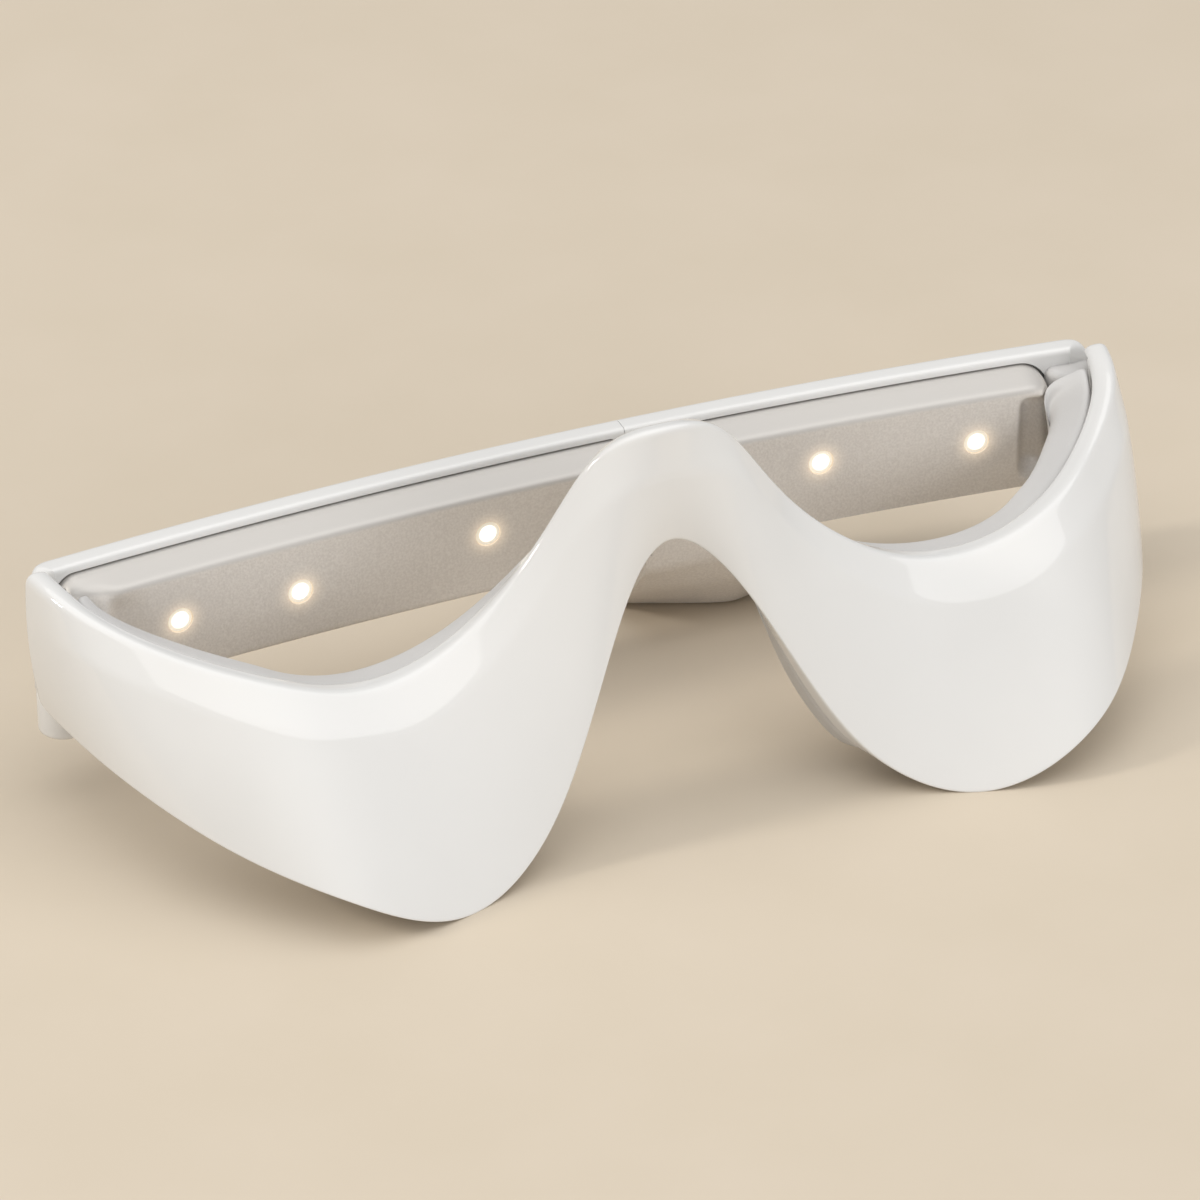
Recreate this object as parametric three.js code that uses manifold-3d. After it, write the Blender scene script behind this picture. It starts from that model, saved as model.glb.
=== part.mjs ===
// LED eye massager: a glossy front shell with two lobes and a nose bridge, and two lit arms
// that fold behind it and meet tip to tip. Millimetres, +Z up, the front faces -Y.
import * as THREE from 'three';
import { mergeVertices } from 'three/addons/utils/BufferGeometryUtils.js';
import Module from 'manifold-3d';

const wasm = await Module();
wasm.setup();

// Where the middle of the object's depth lies, so that the origin is under the middle of the box.
const depthCentre = 39.03;

// The front's outer face, from the nose bridge out to the hinge end: its rim and its lower edge.
const rimStations = [
  { x: 0, y: 25, z: 55.5 },
  { x: 10, y: 27.5, z: 51.5 },
  { x: 20.5, y: 27.5, z: 37.5 },
  { x: 38, y: 24.5, z: 26.2 },
  { x: 56, y: 24.5, z: 28.5 },
  { x: 70, y: 35.5, z: 31.2 },
  { x: 79, y: 47, z: 34.5 },
  { x: 82, y: 56.2, z: 35.5 },
];
const lowerStations = [
  { x: 0, y: 23.5, z: 38.5 },
  { x: 11, y: 18, z: 27.5 },
  { x: 23, y: 10, z: 7.2 },
  { x: 39, y: 2.8, z: -0.1 },
  { x: 55, y: 3, z: 6 },
  { x: 68, y: 16.5, z: 10 },
  { x: 78, y: 35, z: 14.5 },
  { x: 81.5, y: 54.5, z: 15 },
];
const archHalfWidth = 17;
const lobeInnerEdge = 27;

// Swell of the front's face: a soft crease runs along below the rim, with a fuller face under it.
const endCrown = 0.8;
const crease = { drop: 6.8, rise: 0.75, softness: 1.2, lowerSwell: 0.3 };
const creaseFade = { from: 0.8, to: 0.97 };

// Walls of the front, from the outer face inwards.
const shellWall = 2.7;
const linerNear = 3.2;
const linerFar = 6.9;
const linerInset = 0.6;
const endGrowth = { from: 0.7, to: 0.9, wall: 0.6, liner: 1.9 };

// Arms: upright bands that bow back behind the front.
const armBack = 65;
const armBow = 4.4;
const armTop = 33.8;
const armBottom = 13.4;
const armSeam = 9.5;
const armTip = 0.2;
const armShellDepth = 3.4;
const armWall = 2;
const armRim = 1.1;
const padNear = 2.3;
const padFar = 9;
const padTop = 1.4;
const padFoot = 18.2;
const padLipDrop = 0.9;
const padLipDepth = 4.4;
const padStart = 1.7;
const padEnd = 74;
const padEndTuck = { from: 71, depth: 2.4 };
const flexGroove = { setback: 3.6, radius: 2, outside: 0.9, top: 29.5 };
const boardThickness = 0.8;
const boardSetback = 4;
const boardEnd = 67.8;

// Hinges: upright barrels in the two corners.
const hinge = { x: 77, y: 57 };
const barrelRadius = 3.6;
const barrelGap = 0.35;
const tongueBottom = 15.6;
const tongueTop = 26.4;
const knuckleFoot = 8.5;
const pinRadius = 1.2;
const pinBore = 1.5;
const pinTop = 31;
const pinHeadRadius = 1.9;
const pinHeadHeight = 0.8;

// Lights: three in each arm, by their place along it and their height.
const leds = {
  left: [{ x: -14, z: 25.2 }, { x: -43, z: 23.4 }, { x: -61.5, z: 24 }],
  right: [{ x: 17, z: 25.2 }, { x: 37.5, z: 25.4 }, { x: 61.5, z: 24.2 }],
};
const ledRadius = 1.6;
const ledHole = 1.9;

// Control pod under and behind the right arm. It stands on its flat foot, and its front bulges
// out below the pad.
const pod = { left: 10, right: 37, front: 55.9, back: 75.7, split: 72.2 };
const podLip = { y: 56.3, z: 15.3 };
const podBelly = { x: 27, y: 57.6, z: 8, spread: 0.2 };
const podFoot = { y: 63.2, spread: 0.46 };
const podCavity = { left: 14.8, right: 33, front: 67.4, bottom: 2.2, top: 25.4 };
const podTop = 27.4;
const buttonCentre = { x: 20, z: 18.6 };
const buttonRadius = 4;
const lightCentre = { x: 27.6, z: 18.6 };
const podScrews = [12.9, 34.9];
const podScrewHeight = 8;

const touchGap = 0.3;

// Natural cubic spline through evenly spaced values.
function naturalSpline(values) {
  const last = values.length - 1;
  const bend = new Array(last + 1).fill(0);
  const share = new Array(last + 1).fill(0);
  const load = new Array(last + 1).fill(0);
  for (let i = 1; i < last; i += 1) {
    share[i] = 1 / (4 - share[i - 1]);
    load[i] = (6 * (values[i - 1] - 2 * values[i] + values[i + 1]) - load[i - 1]) * share[i];
  }
  for (let i = last - 1; i > 0; i -= 1) {
    bend[i] = load[i] - share[i] * bend[i + 1];
  }
  return (t) => {
    const k = Math.min(Math.max(Math.floor(t), 0), last - 1);
    const f = t - k;
    const g = 1 - f;
    const curve = ((g ** 3 - g) * bend[k] + (f ** 3 - f) * bend[k + 1]) / 6;
    return g * values[k] + f * values[k + 1] + curve;
  };
}

// A line through stations and their mirror images, with u from -1 to 1.
function mirroredLine(stations) {
  const other = stations.slice(1).reverse().map((s) => ({ x: -s.x, y: s.y, z: s.z }));
  const whole = [...other, ...stations];
  const half = stations.length - 1;
  const x = naturalSpline(whole.map((s) => s.x));
  const y = naturalSpline(whole.map((s) => s.y));
  const z = naturalSpline(whole.map((s) => s.z));
  return (u) => new THREE.Vector3(x((u + 1) * half), y((u + 1) * half), z((u + 1) * half));
}

// A skin is the outer face between an upper and a lower line, swollen by crown(u, along, height).
// Its place() gives the point that
// lies `along` mm below the upper line and `depth` mm behind the face. Edges run level where
// levelTop and levelBottom are 1, and square to the face where they are 0.
function makeSkin({ upper, lower, crown, outward, levelTop, levelBottom }) {
  const nudge = 0.001;
  const ruled = (u, v) => upper(u).lerp(lower(u), v);
  const facing = (face, u, v) => {
    const across = face(u + nudge, v).sub(face(u - nudge, v));
    const down = face(u, v + nudge).sub(face(u, v - nudge));
    return across.cross(down).normalize().multiplyScalar(outward);
  };
  const height = (u) => upper(u).distanceTo(lower(u));
  const swell = (u, v) => crown(u, v * height(u), height(u));
  const point = (u, v) => ruled(u, v).addScaledVector(facing(ruled, u, v), swell(u, v));
  const normal = (u, v) => facing(point, u, v);
  const lean = (u) => {
    const drop = lower(u).sub(upper(u)).normalize();
    const out = facing(ruled, u, 0.5);
    return -out.z / drop.z;
  };
  const place = (u, along, depth) => {
    const part = along / height(u);
    const level = lean(u) * ((1 - part) * levelTop(u) + part * levelBottom(u));
    const v = (along - depth * level) / height(u);
    return point(u, v).addScaledVector(normal(u, v), -depth);
  };
  return { point, normal, height, place };
}

// A hump that peaks at the crease and is straight on both sides of it.
function creaseHump(along, height) {
  const { drop, rise, softness } = crease;
  const past = along - drop;
  let ramp = Math.max(past, 0);
  if (Math.abs(past) < softness) {
    ramp = (past + softness) ** 2 / (4 * softness);
  }
  return (rise / drop) * along - (rise / drop + rise / (height - drop)) * ramp;
}

function frontCrown(u, along, height) {
  const plain = THREE.MathUtils.smoothstep(Math.abs(u), creaseFade.from, creaseFade.to);
  const v = along / height;
  const below = Math.max((along - crease.drop) / (height - crease.drop), 0);
  const creased = creaseHump(along, height) + crease.lowerSwell * 4 * below * (1 - below);
  return THREE.MathUtils.lerp(creased, endCrown * 4 * v * (1 - v), plain);
}

const frontLower = mirroredLine(lowerStations);
const frontSkin = makeSkin({
  upper: mirroredLine(rimStations),
  lower: frontLower,
  crown: frontCrown,
  outward: -1,
  levelTop: () => 1,
  levelBottom: (u) => {
    const x = Math.abs(frontLower(u).x);
    return THREE.MathUtils.smoothstep(x, archHalfWidth, lobeInnerEdge);
  },
});

// How much of the extra thickness at the hinge ends a place has, from 0 to 1.
function endShare(u) {
  return THREE.MathUtils.smoothstep(Math.abs(u), endGrowth.from, endGrowth.to);
}

// The outer face of an arm. Side is 1 on the right and -1 on the left; u is 0 at the tip, which
// meets the other arm's tip at the seam, and 1 at the hinge.
function armSkin(side) {
  const line = (height) => (u) => {
    const x = THREE.MathUtils.lerp(armSeam + side * armTip, side * hinge.x, u);
    return new THREE.Vector3(x, armBack - armBow * (x / hinge.x) ** 2, height);
  };
  return makeSkin({
    upper: line(armTop),
    lower: line(armBottom),
    crown: () => 0,
    outward: side,
    levelTop: () => 0,
    levelBottom: () => 0,
  });
}

function armParameter(side, x) {
  return THREE.MathUtils.inverseLerp(armSeam + side * armTip, side * hinge.x, x);
}

// A section corner: how far along, how deep, its rounding, and the pieces its next edge is split in.
function corner(along, depth, radius, split) {
  return { along, depth, radius, split };
}

function boxSection(near, far, radius, split) {
  return (top, bottom) => [
    corner(top, near, radius, split),
    corner(bottom, near, radius, 1),
    corner(bottom, far, radius, split),
    corner(top, far, radius, 1),
  ];
}

// Rounds the corners of a section and splits its long edges.
function roundSection(corners) {
  const arcSteps = 3;
  const at = (c) => new THREE.Vector2(c.along, c.depth);
  const ends = corners.map((c, i) => {
    const here = at(c);
    const before = at(corners[(i + corners.length - 1) % corners.length]).sub(here);
    const after = at(corners[(i + 1) % corners.length]).sub(here);
    const reach = Math.min(c.radius, before.length() * 0.45, after.length() * 0.45);
    const start = here.clone().addScaledVector(before.normalize(), reach);
    const end = here.clone().addScaledVector(after.normalize(), reach);
    return { here, start, end };
  });
  const ring = [];
  ends.forEach(({ here, start, end }, i) => {
    const arcs = corners[i].radius > 0 ? arcSteps : 0;
    for (let k = 0; k <= arcs; k += 1) {
      const t = k / Math.max(arcs, 1);
      const one = start.clone().lerp(here, t);
      ring.push(one.lerp(here.clone().lerp(end, t), t));
    }
    const next = ends[(i + 1) % ends.length].start;
    for (let k = 1; k < corners[i].split; k += 1) {
      ring.push(end.clone().lerp(next, k / corners[i].split));
    }
  });
  return ring;
}

function roundedInset(distance, radius) {
  if (distance >= radius) {
    return 0;
  }
  return radius - Math.sqrt(radius ** 2 - (radius - distance) ** 2);
}

// Distances along a panel: close together on its rounded ends, even between them.
function spreadStations(length, steps, startRadius, endRadius) {
  const startSteps = startRadius > 0 ? 4 : 0;
  const endSteps = endRadius > 0 ? 4 : 0;
  const list = [];
  for (let k = 0; k < startSteps; k += 1) {
    list.push(startRadius * (1 - Math.cos((k / startSteps) * (Math.PI / 2))));
  }
  for (let k = 0; k <= steps; k += 1) {
    list.push(startRadius + ((length - startRadius - endRadius) * k) / steps);
  }
  for (let k = endSteps - 1; k >= 0; k -= 1) {
    list.push(length - endRadius * (1 - Math.cos((k / endSteps) * (Math.PI / 2))));
  }
  return list;
}

// Turns a distance in mm from `from` into the skin's own parameter.
function distanceMap(skin, from, to) {
  const samples = 200;
  const marks = [0];
  let before = skin.point(from, 0.5);
  for (let k = 1; k <= samples; k += 1) {
    const here = skin.point(from + ((to - from) * k) / samples, 0.5);
    marks.push(marks[k - 1] + here.distanceTo(before));
    before = here;
  }
  const parameter = (distance) => {
    const k = Math.max(marks.findIndex((m) => m >= distance - 1e-9), 1);
    const part = (distance - marks[k - 1]) / (marks[k] - marks[k - 1]);
    return from + ((to - from) * (k - 1 + part)) / samples;
  };
  return { length: marks[samples], parameter };
}

// A closed panel that follows a skin, with rounded edges and corners.
function panel(skin, { from, to, steps, span, section, startRadii, endRadii }) {
  const map = distanceMap(skin, from, to);
  const [startTop, startBottom] = startRadii;
  const [endTop, endBottom] = endRadii;
  const startRadius = Math.max(startTop, startBottom);
  const endRadius = Math.max(endTop, endBottom);
  const positions = [];
  const rings = spreadStations(map.length, steps, startRadius, endRadius).map((distance) => {
    const u = map.parameter(distance);
    const rest = map.length - distance;
    const [top, bottom] = span(skin.height(u));
    const topInset = roundedInset(distance, startTop) + roundedInset(rest, endTop);
    const bottomInset = roundedInset(distance, startBottom) + roundedInset(rest, endBottom);
    const ring = roundSection(section(top + topInset, bottom - bottomInset, u));
    ring.forEach((p) => positions.push(...skin.place(u, p.x, p.y).toArray()));
    return ring;
  });
  const count = rings[0].length;
  const faces = [];
  for (let i = 0; i < rings.length - 1; i += 1) {
    for (let k = 0; k < count; k += 1) {
      const a = i * count + k;
      const b = i * count + ((k + 1) % count);
      faces.push(a, b, a + count, b, b + count, a + count);
    }
  }
  const lastRing = (rings.length - 1) * count;
  THREE.ShapeUtils.triangulateShape(rings[0], []).forEach(([a, b, c]) => faces.push(a, c, b));
  THREE.ShapeUtils.triangulateShape(rings[rings.length - 1], []).forEach(([a, b, c]) => {
    faces.push(lastRing + a, lastRing + b, lastRing + c);
  });
  const geometry = new THREE.BufferGeometry();
  geometry.setAttribute('position', new THREE.Float32BufferAttribute(positions, 3));
  geometry.setIndex(faces);
  return facingOut(geometry);
}

function signedVolume(geometry) {
  const position = geometry.getAttribute('position');
  const index = geometry.getIndex();
  const a = new THREE.Vector3();
  const b = new THREE.Vector3();
  const c = new THREE.Vector3();
  let sum = 0;
  for (let i = 0; i < index.count; i += 3) {
    a.fromBufferAttribute(position, index.getX(i));
    b.fromBufferAttribute(position, index.getX(i + 1));
    c.fromBufferAttribute(position, index.getX(i + 2));
    sum += a.dot(b.cross(c));
  }
  return sum / 6;
}

function facingOut(geometry) {
  if (signedVolume(geometry) > 0) {
    return geometry;
  }
  const index = geometry.getIndex();
  for (let i = 0; i < index.count; i += 3) {
    const first = index.getX(i);
    index.setX(i, index.getX(i + 1));
    index.setX(i + 1, first);
  }
  return geometry;
}

// Booleans
function toSolid(geometry) {
  const bare = geometry.clone();
  bare.deleteAttribute('normal');
  bare.deleteAttribute('uv');
  const merged = mergeVertices(bare, 1e-5);
  return new wasm.Manifold(new wasm.Mesh({
    numProp: 3,
    vertProperties: new Float32Array(merged.getAttribute('position').array),
    triVerts: new Uint32Array(merged.getIndex().array),
  }));
}

function toGeometry(solid) {
  const mesh = solid.getMesh();
  const geometry = new THREE.BufferGeometry();
  geometry.setAttribute('position', new THREE.BufferAttribute(mesh.vertProperties, 3));
  geometry.setIndex(new THREE.BufferAttribute(mesh.triVerts, 1));
  return geometry;
}

function cut(geometry, tools) {
  return toGeometry(tools.reduce((solid, tool) => solid.subtract(toSolid(tool)), toSolid(geometry)));
}

function join(geometry, others) {
  return toGeometry(others.reduce((solid, other) => solid.add(toSolid(other)), toSolid(geometry)));
}

// Plain shapes
function block(x0, x1, y0, y1, z0, z1) {
  const geometry = new THREE.BoxGeometry(x1 - x0, y1 - y0, z1 - z0);
  return geometry.translate((x0 + x1) / 2, (y0 + y1) / 2, (z0 + z1) / 2);
}

// A round piece from a profile of [radius, height] points, turned to stand along an axis.
function turned(profile, sides, origin, axis) {
  const points = profile.map(([radius, height]) => new THREE.Vector2(radius, height));
  const geometry = new THREE.LatheGeometry(points, sides);
  const up = new THREE.Vector3(0, 1, 0);
  const turn = new THREE.Quaternion().setFromUnitVectors(up, axis.clone().normalize());
  geometry.applyQuaternion(turn).translate(origin.x, origin.y, origin.z);
  geometry.deleteAttribute('normal');
  geometry.deleteAttribute('uv');
  return facingOut(mergeVertices(geometry, 1e-5));
}

function rod(radius, length, sides, origin, axis) {
  return turned([[0, 0], [radius, 0], [radius, length], [0, length]], sides, origin, axis);
}

const upAxis = new THREE.Vector3(0, 0, 1);
const backAxis = new THREE.Vector3(0, 1, 0);
const rightAxis = new THREE.Vector3(1, 0, 0);

function barrel(side, radius, bottom, top, edge) {
  const height = top - bottom;
  const profile = [[0, 0], [radius - edge, 0], [radius, edge], [radius, height - edge],
    [radius - edge, height], [0, height]];
  return turned(profile, 32, new THREE.Vector3(side * hinge.x, hinge.y, bottom), upAxis);
}

// The bore of a hinge is open at the foot only, so the top stays smooth.
function pinHole(side) {
  const foot = new THREE.Vector3(side * hinge.x, hinge.y, 0);
  return rod(pinBore, pinTop + touchGap, 20, foot, upAxis);
}

// Front shell: glossy moulded plastic with a hinge tongue at each end.
function frontShell() {
  let shell = panel(frontSkin, {
    from: -1,
    to: 1,
    steps: 58,
    span: (height) => [0, height],
    section: (top, bottom, u) => {
      const far = shellWall + endGrowth.wall * endShare(u);
      return [
        corner(top, 0, 0.9, 2),
        corner(Math.min(top + crease.drop, (top + bottom) / 2), 0, 0, 4),
        corner(bottom, 0, 0.9, 1),
        corner(bottom, far, 0.9, 5),
        corner(top, far, 0.9, 1),
      ];
    },
    startRadii: [1.2, 3],
    endRadii: [3.4, 3],
  });
  for (const side of [-1, 1]) {
    const clear = barrelRadius + barrelGap;
    shell = cut(shell, [
      barrel(side, clear, tongueTop, 60, 0),
      barrel(side, clear, 0, tongueBottom, 0),
    ]);
    shell = join(shell, [barrel(side, barrelRadius, tongueBottom, tongueTop, 0)]);
    shell = cut(shell, [pinHole(side)]);
  }
  return shell;
}

const heaterSpan = { from: 0.34, to: 0.62, top: 6.5, bottom: 9 };
const motorPlace = { u: 0.46, part: 0.47, radius: 4, near: 4.3, far: 6.2 };
const cableSpan = { reach: 0.32, top: 5, bottom: 9 };

// A thin pocket or film in the front that follows the face on one side.
function lobeSheet(side, near, far, grow) {
  const ends = [heaterSpan.from - grow * 0.01, heaterSpan.to + grow * 0.01].map((u) => side * u);
  return panel(frontSkin, {
    from: Math.min(...ends),
    to: Math.max(...ends),
    steps: 8,
    span: (height) => [heaterSpan.top - grow, height - heaterSpan.bottom + grow],
    section: boxSection(near, far, 0, 3),
    startRadii: [3, 3],
    endRadii: [3, 3],
  });
}

function lobeDisc(side, radius, near, far) {
  const u = side * motorPlace.u;
  const middle = frontSkin.height(u) * motorPlace.part;
  const inwards = frontSkin.normal(u, motorPlace.part).negate();
  const seat = frontSkin.place(u, middle, motorPlace.near);
  const start = seat.addScaledVector(inwards, near - motorPlace.near);
  return rod(radius, far - near, 24, start, inwards);
}

function bridgeStrip(near, far, grow) {
  return panel(frontSkin, {
    from: -cableSpan.reach - grow * 0.05,
    to: cableSpan.reach + grow * 0.05,
    steps: 16,
    span: () => [cableSpan.top - grow, cableSpan.bottom + grow],
    section: boxSection(near, far, 0, 1),
    startRadii: [0.5, 0.5],
    endRadii: [0.5, 0.5],
  });
}

// Front liner: soft moulded backing with pockets for the heaters, motors and flat cable.
function frontLiner() {
  const endInset = 0.06;
  const base = panel(frontSkin, {
    from: -1 + endInset,
    to: 1 - endInset,
    steps: 50,
    span: (height) => [linerInset, height - linerInset],
    section: (top, bottom, u) => {
      const near = linerNear + endGrowth.wall * endShare(u);
      const far = linerFar + endGrowth.liner * endShare(u);
      return boxSection(near, far, 1.1, 3)(top, bottom);
    },
    startRadii: [4, 3],
    endRadii: [4, 3],
  });
  const tools = [bridgeStrip(linerNear - 1.2, linerNear + 0.8, 0.4)];
  for (const side of [-1, 1]) {
    tools.push(lobeSheet(side, linerNear - 1.2, linerNear + 0.9, 0.4));
    tools.push(lobeDisc(side, motorPlace.radius + 0.4, linerNear + 0.5, motorPlace.far + 0.3));
    tools.push(barrel(side, barrelRadius + 2 * barrelGap, 0, 60, 0));
  }
  return cut(base, tools);
}

// Arm shell: a channel with a tip wall, two hinge knuckles and a slot for the tip magnet.
function armShell(side) {
  const skin = armSkin(side);
  const body = panel(skin, {
    from: 0,
    to: 1,
    steps: 14,
    span: (height) => [0, height],
    section: boxSection(0, armShellDepth, 0.9, 1),
    startRadii: [0.5, 0.5],
    endRadii: [0.6, 2],
  });
  const pocket = panel(skin, {
    from: armParameter(side, armSeam + side * (padStart - touchGap)),
    to: armParameter(side, side * (padEnd + touchGap)),
    steps: 14,
    span: (height) => [armRim, height - armWall],
    section: boxSection(armWall, armShellDepth + 1, 0, 1),
    startRadii: [1, 1],
    endRadii: [4.7, 2.7],
  });
  const topEdge = 1.1;
  let shell = cut(body, [pocket, magnetBlock(side, touchGap)]);
  shell = cut(shell, [barrel(side, barrelRadius + barrelGap, tongueBottom - barrelGap,
    tongueTop + barrelGap, 0)]);
  shell = join(shell, [
    barrel(side, barrelRadius, tongueTop + barrelGap, armTop - 0.1, topEdge),
    barrel(side, barrelRadius, knuckleFoot, tongueBottom - barrelGap, 0.8),
  ]);
  const foot = new THREE.Vector3(side * hinge.x, hinge.y, 0);
  const headRoom = knuckleFoot + pinHeadHeight + 2 * touchGap;
  return cut(shell, [pinHole(side), rod(pinHeadRadius + touchGap, headRoom, 20, foot, upAxis)]);
}

// Hinge pin: pushed in from below, with its head sunk in the lower knuckle.
function hingePin(side) {
  const foot = knuckleFoot + touchGap;
  const length = pinTop - foot;
  const edge = 0.2;
  const profile = [[0, 0], [pinHeadRadius - edge, 0], [pinHeadRadius, edge],
    [pinHeadRadius, pinHeadHeight], [pinRadius, pinHeadHeight], [pinRadius, length - edge],
    [pinRadius - edge, length], [0, length]];
  return turned(profile, 20, new THREE.Vector3(side * hinge.x, hinge.y, foot), upAxis);
}

// Arm pad: soft silvery panel with a flat lip, a flex groove near the hinge and light holes.
function armPad(side) {
  const skin = armSkin(side);
  const boardRoom = boardSheet(side, padNear - 1, padNear + boardThickness + touchGap, touchGap);
  const end = armParameter(side, side * padEnd);
  const tuckStart = armParameter(side, side * padEndTuck.from);
  const section = (top, bottom, u) => {
    const far = padFar - padEndTuck.depth * THREE.MathUtils.smoothstep(u, tuckStart, end);
    return [
      corner(top, padNear, 0, 1),
      corner(bottom, padNear, 0, 1),
      corner(bottom, far, 0.9, 2),
      corner(top + padLipDrop, far, 0.9, 1),
      corner(top, padLipDepth, 0.6, 1),
    ];
  };
  const base = panel(skin, {
    from: armParameter(side, armSeam + side * padStart),
    to: end,
    steps: 14,
    span: () => [padTop, padFoot],
    section,
    startRadii: [0.8, 0.8],
    endRadii: [4.6, 2.6],
  });
  const grooveU = armParameter(side, side * (padEnd - flexGroove.setback));
  const groove = skin.place(grooveU, armTop, padFar + flexGroove.outside);
  const tools = [
    rod(flexGroove.radius, flexGroove.top, 20, groove, upAxis),
    barrel(side, barrelRadius + barrelGap, 0, armTop, 0),
    boardRoom,
    magnetBlock(side, touchGap),
  ];
  for (const led of side < 0 ? leds.left : leds.right) {
    const { seat, inwards } = ledSeat(side, led);
    tools.push(rod(ledHole, padFar, 20, seat, inwards));
  }
  return cut(base, tools);
}

function ledSeat(side, led) {
  const skin = armSkin(side);
  const u = armParameter(side, led.x);
  const along = armTop - led.z;
  const depth = padNear + boardThickness + 0.1;
  return { seat: skin.place(u, along, depth), inwards: skin.normal(u, 0.5).negate() };
}

// LED window: a clear light guide with a domed face, flush with the pad.
function ledWindow(side, led) {
  const { seat, inwards } = ledSeat(side, led);
  const length = padFar - padNear - boardThickness;
  const profile = [[0, 0.1], [ledRadius, 0.1], [ledRadius, length - 0.3],
    [ledRadius * 0.7, length - 0.05], [0, length + 0.1]];
  return turned(profile, 20, seat, inwards);
}

function boardSheet(side, near, far, grow) {
  return panel(armSkin(side), {
    from: armParameter(side, armSeam + side * (padStart + boardSetback - grow)),
    to: armParameter(side, side * (boardEnd + grow)),
    steps: 8,
    span: () => [5 - grow, 15 + grow],
    section: boxSection(near, far, 0, 1),
    startRadii: [0.5, 0.5],
    endRadii: [0.5, 0.5],
  });
}

function ledBoard(side) {
  return boardSheet(side, padNear, padNear + boardThickness, 0);
}

// Tip magnet: half sunk in the shell's wall and half in the pad's back.
function magnetBlock(side, grow) {
  const ends = [padStart + 0.3 - grow, padStart + 2.1 + grow].map((x) => armSeam + side * x);
  const [front, back] = [armBack - 3 - grow, armBack - 1.2 + grow];
  const [low, high] = [18.6 - grow, 28.6 + grow];
  return block(Math.min(...ends), Math.max(...ends), front, back, low, high);
}

function tipMagnet(side) {
  return magnetBlock(side, 0);
}

// A closed bar: a rounded outline carried along one axis. Along and depth are its two other axes.
function bar(corners, from, to, alongAxis, depthAxis) {
  const shape = new THREE.Shape(roundSection(corners));
  const geometry = new THREE.ExtrudeGeometry(shape, { depth: to - from, bevelEnabled: false });
  const length = alongAxis.clone().cross(depthAxis);
  const frame = new THREE.Matrix4().makeBasis(alongAxis, depthAxis, length);
  geometry.applyMatrix4(frame);
  const shift = length.x + length.y + length.z > 0 ? from : -to;
  return geometry.translate(length.x * shift, length.y * shift, length.z * shift);
}

// A closed form whose profile in depth and height changes along x.
function loft(profile, from, to, steps) {
  const positions = [];
  const faces = [];
  let count = 0;
  for (let i = 0; i <= steps; i += 1) {
    const x = THREE.MathUtils.lerp(from, to, i / steps);
    const ring = roundSection(profile(x));
    count = ring.length;
    ring.forEach((p) => positions.push(x, p.x, p.y));
    for (let k = 0; k < count && i > 0; k += 1) {
      const a = (i - 1) * count + k;
      const b = (i - 1) * count + ((k + 1) % count);
      faces.push(a, b, a + count, b, b + count, a + count);
    }
  }
  const last = steps * count;
  THREE.ShapeUtils.triangulateShape(roundSection(profile(from)), []).forEach(([a, b, c]) => {
    faces.push(a, c, b);
  });
  THREE.ShapeUtils.triangulateShape(roundSection(profile(to)), []).forEach(([a, b, c]) => {
    faces.push(last + a, last + b, last + c);
  });
  const geometry = new THREE.BufferGeometry();
  geometry.setAttribute('position', new THREE.Float32BufferAttribute(positions, 3));
  geometry.setIndex(faces);
  return facingOut(geometry);
}

// Outer form of the pod: a side profile that swells along the arm, cut to a rounded outline, less
// the room that the arm takes.
function podForm() {
  const inner = armBack - 0.5;
  const bulge = (x, spread) => spread * (Math.hypot(x - podBelly.x, 2) - 2);
  const profile = (x) => [
    corner(podLip.y, podLip.z, 0.5, 1),
    corner(podBelly.y + bulge(x, podBelly.spread), podBelly.z, 4, 1),
    corner(podFoot.y + bulge(x, podFoot.spread), 0, 1.2, 1),
    corner(pod.back - 0.3, 0, 2.4, 1),
    corner(pod.back - 0.1, armBottom, 1, 1),
    corner(pod.back - 0.3, podTop, 5, 1),
    corner(inner, podTop, 0, 1),
    corner(inner, podLip.z, 0, 1),
  ];
  const plan = [
    corner(pod.left, pod.front, 3, 1),
    corner(pod.right, pod.front, 3, 1),
    corner(pod.right, pod.back, 3, 1),
    corner(pod.left, pod.back, 3, 1),
  ];
  const side = loft(profile, pod.left - 1, pod.right + 1, 14);
  const outline = bar(plan, -1, podTop + 1, rightAxis, backAxis);
  const armRoom = panel(armSkin(1), {
    from: -0.2,
    to: 1,
    steps: 14,
    span: (height) => [-touchGap, height + touchGap],
    section: boxSection(-touchGap, armShellDepth + touchGap, 0, 1),
    startRadii: [0, 0],
    endRadii: [0, 0],
  });
  return toGeometry(toSolid(side).intersect(toSolid(outline)).subtract(toSolid(armRoom)));
}

function podScrewHoles(radius, from, length) {
  return podScrews.map((x) => rod(radius, length, 16, new THREE.Vector3(x, from, podScrewHeight), backAxis));
}

const portBox = { left: 28.8, right: 36.7, front: 69.1, back: 71.9, bottom: 15, top: 24 };

function podCase() {
  return cut(podForm(), [
    block(pod.left - 5, pod.right + 5, pod.split, pod.back + 5, -5, podTop + 5),
    block(podCavity.left, podCavity.right, podCavity.front, pod.back, podCavity.bottom, podCavity.top),
    block(portBox.left + 1, pod.right + 5, portBox.front - touchGap, pod.back,
      portBox.bottom - touchGap, portBox.top + touchGap),
    ...podScrewHoles(1.1, pod.split - 3.2, 10),
  ]);
}

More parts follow.
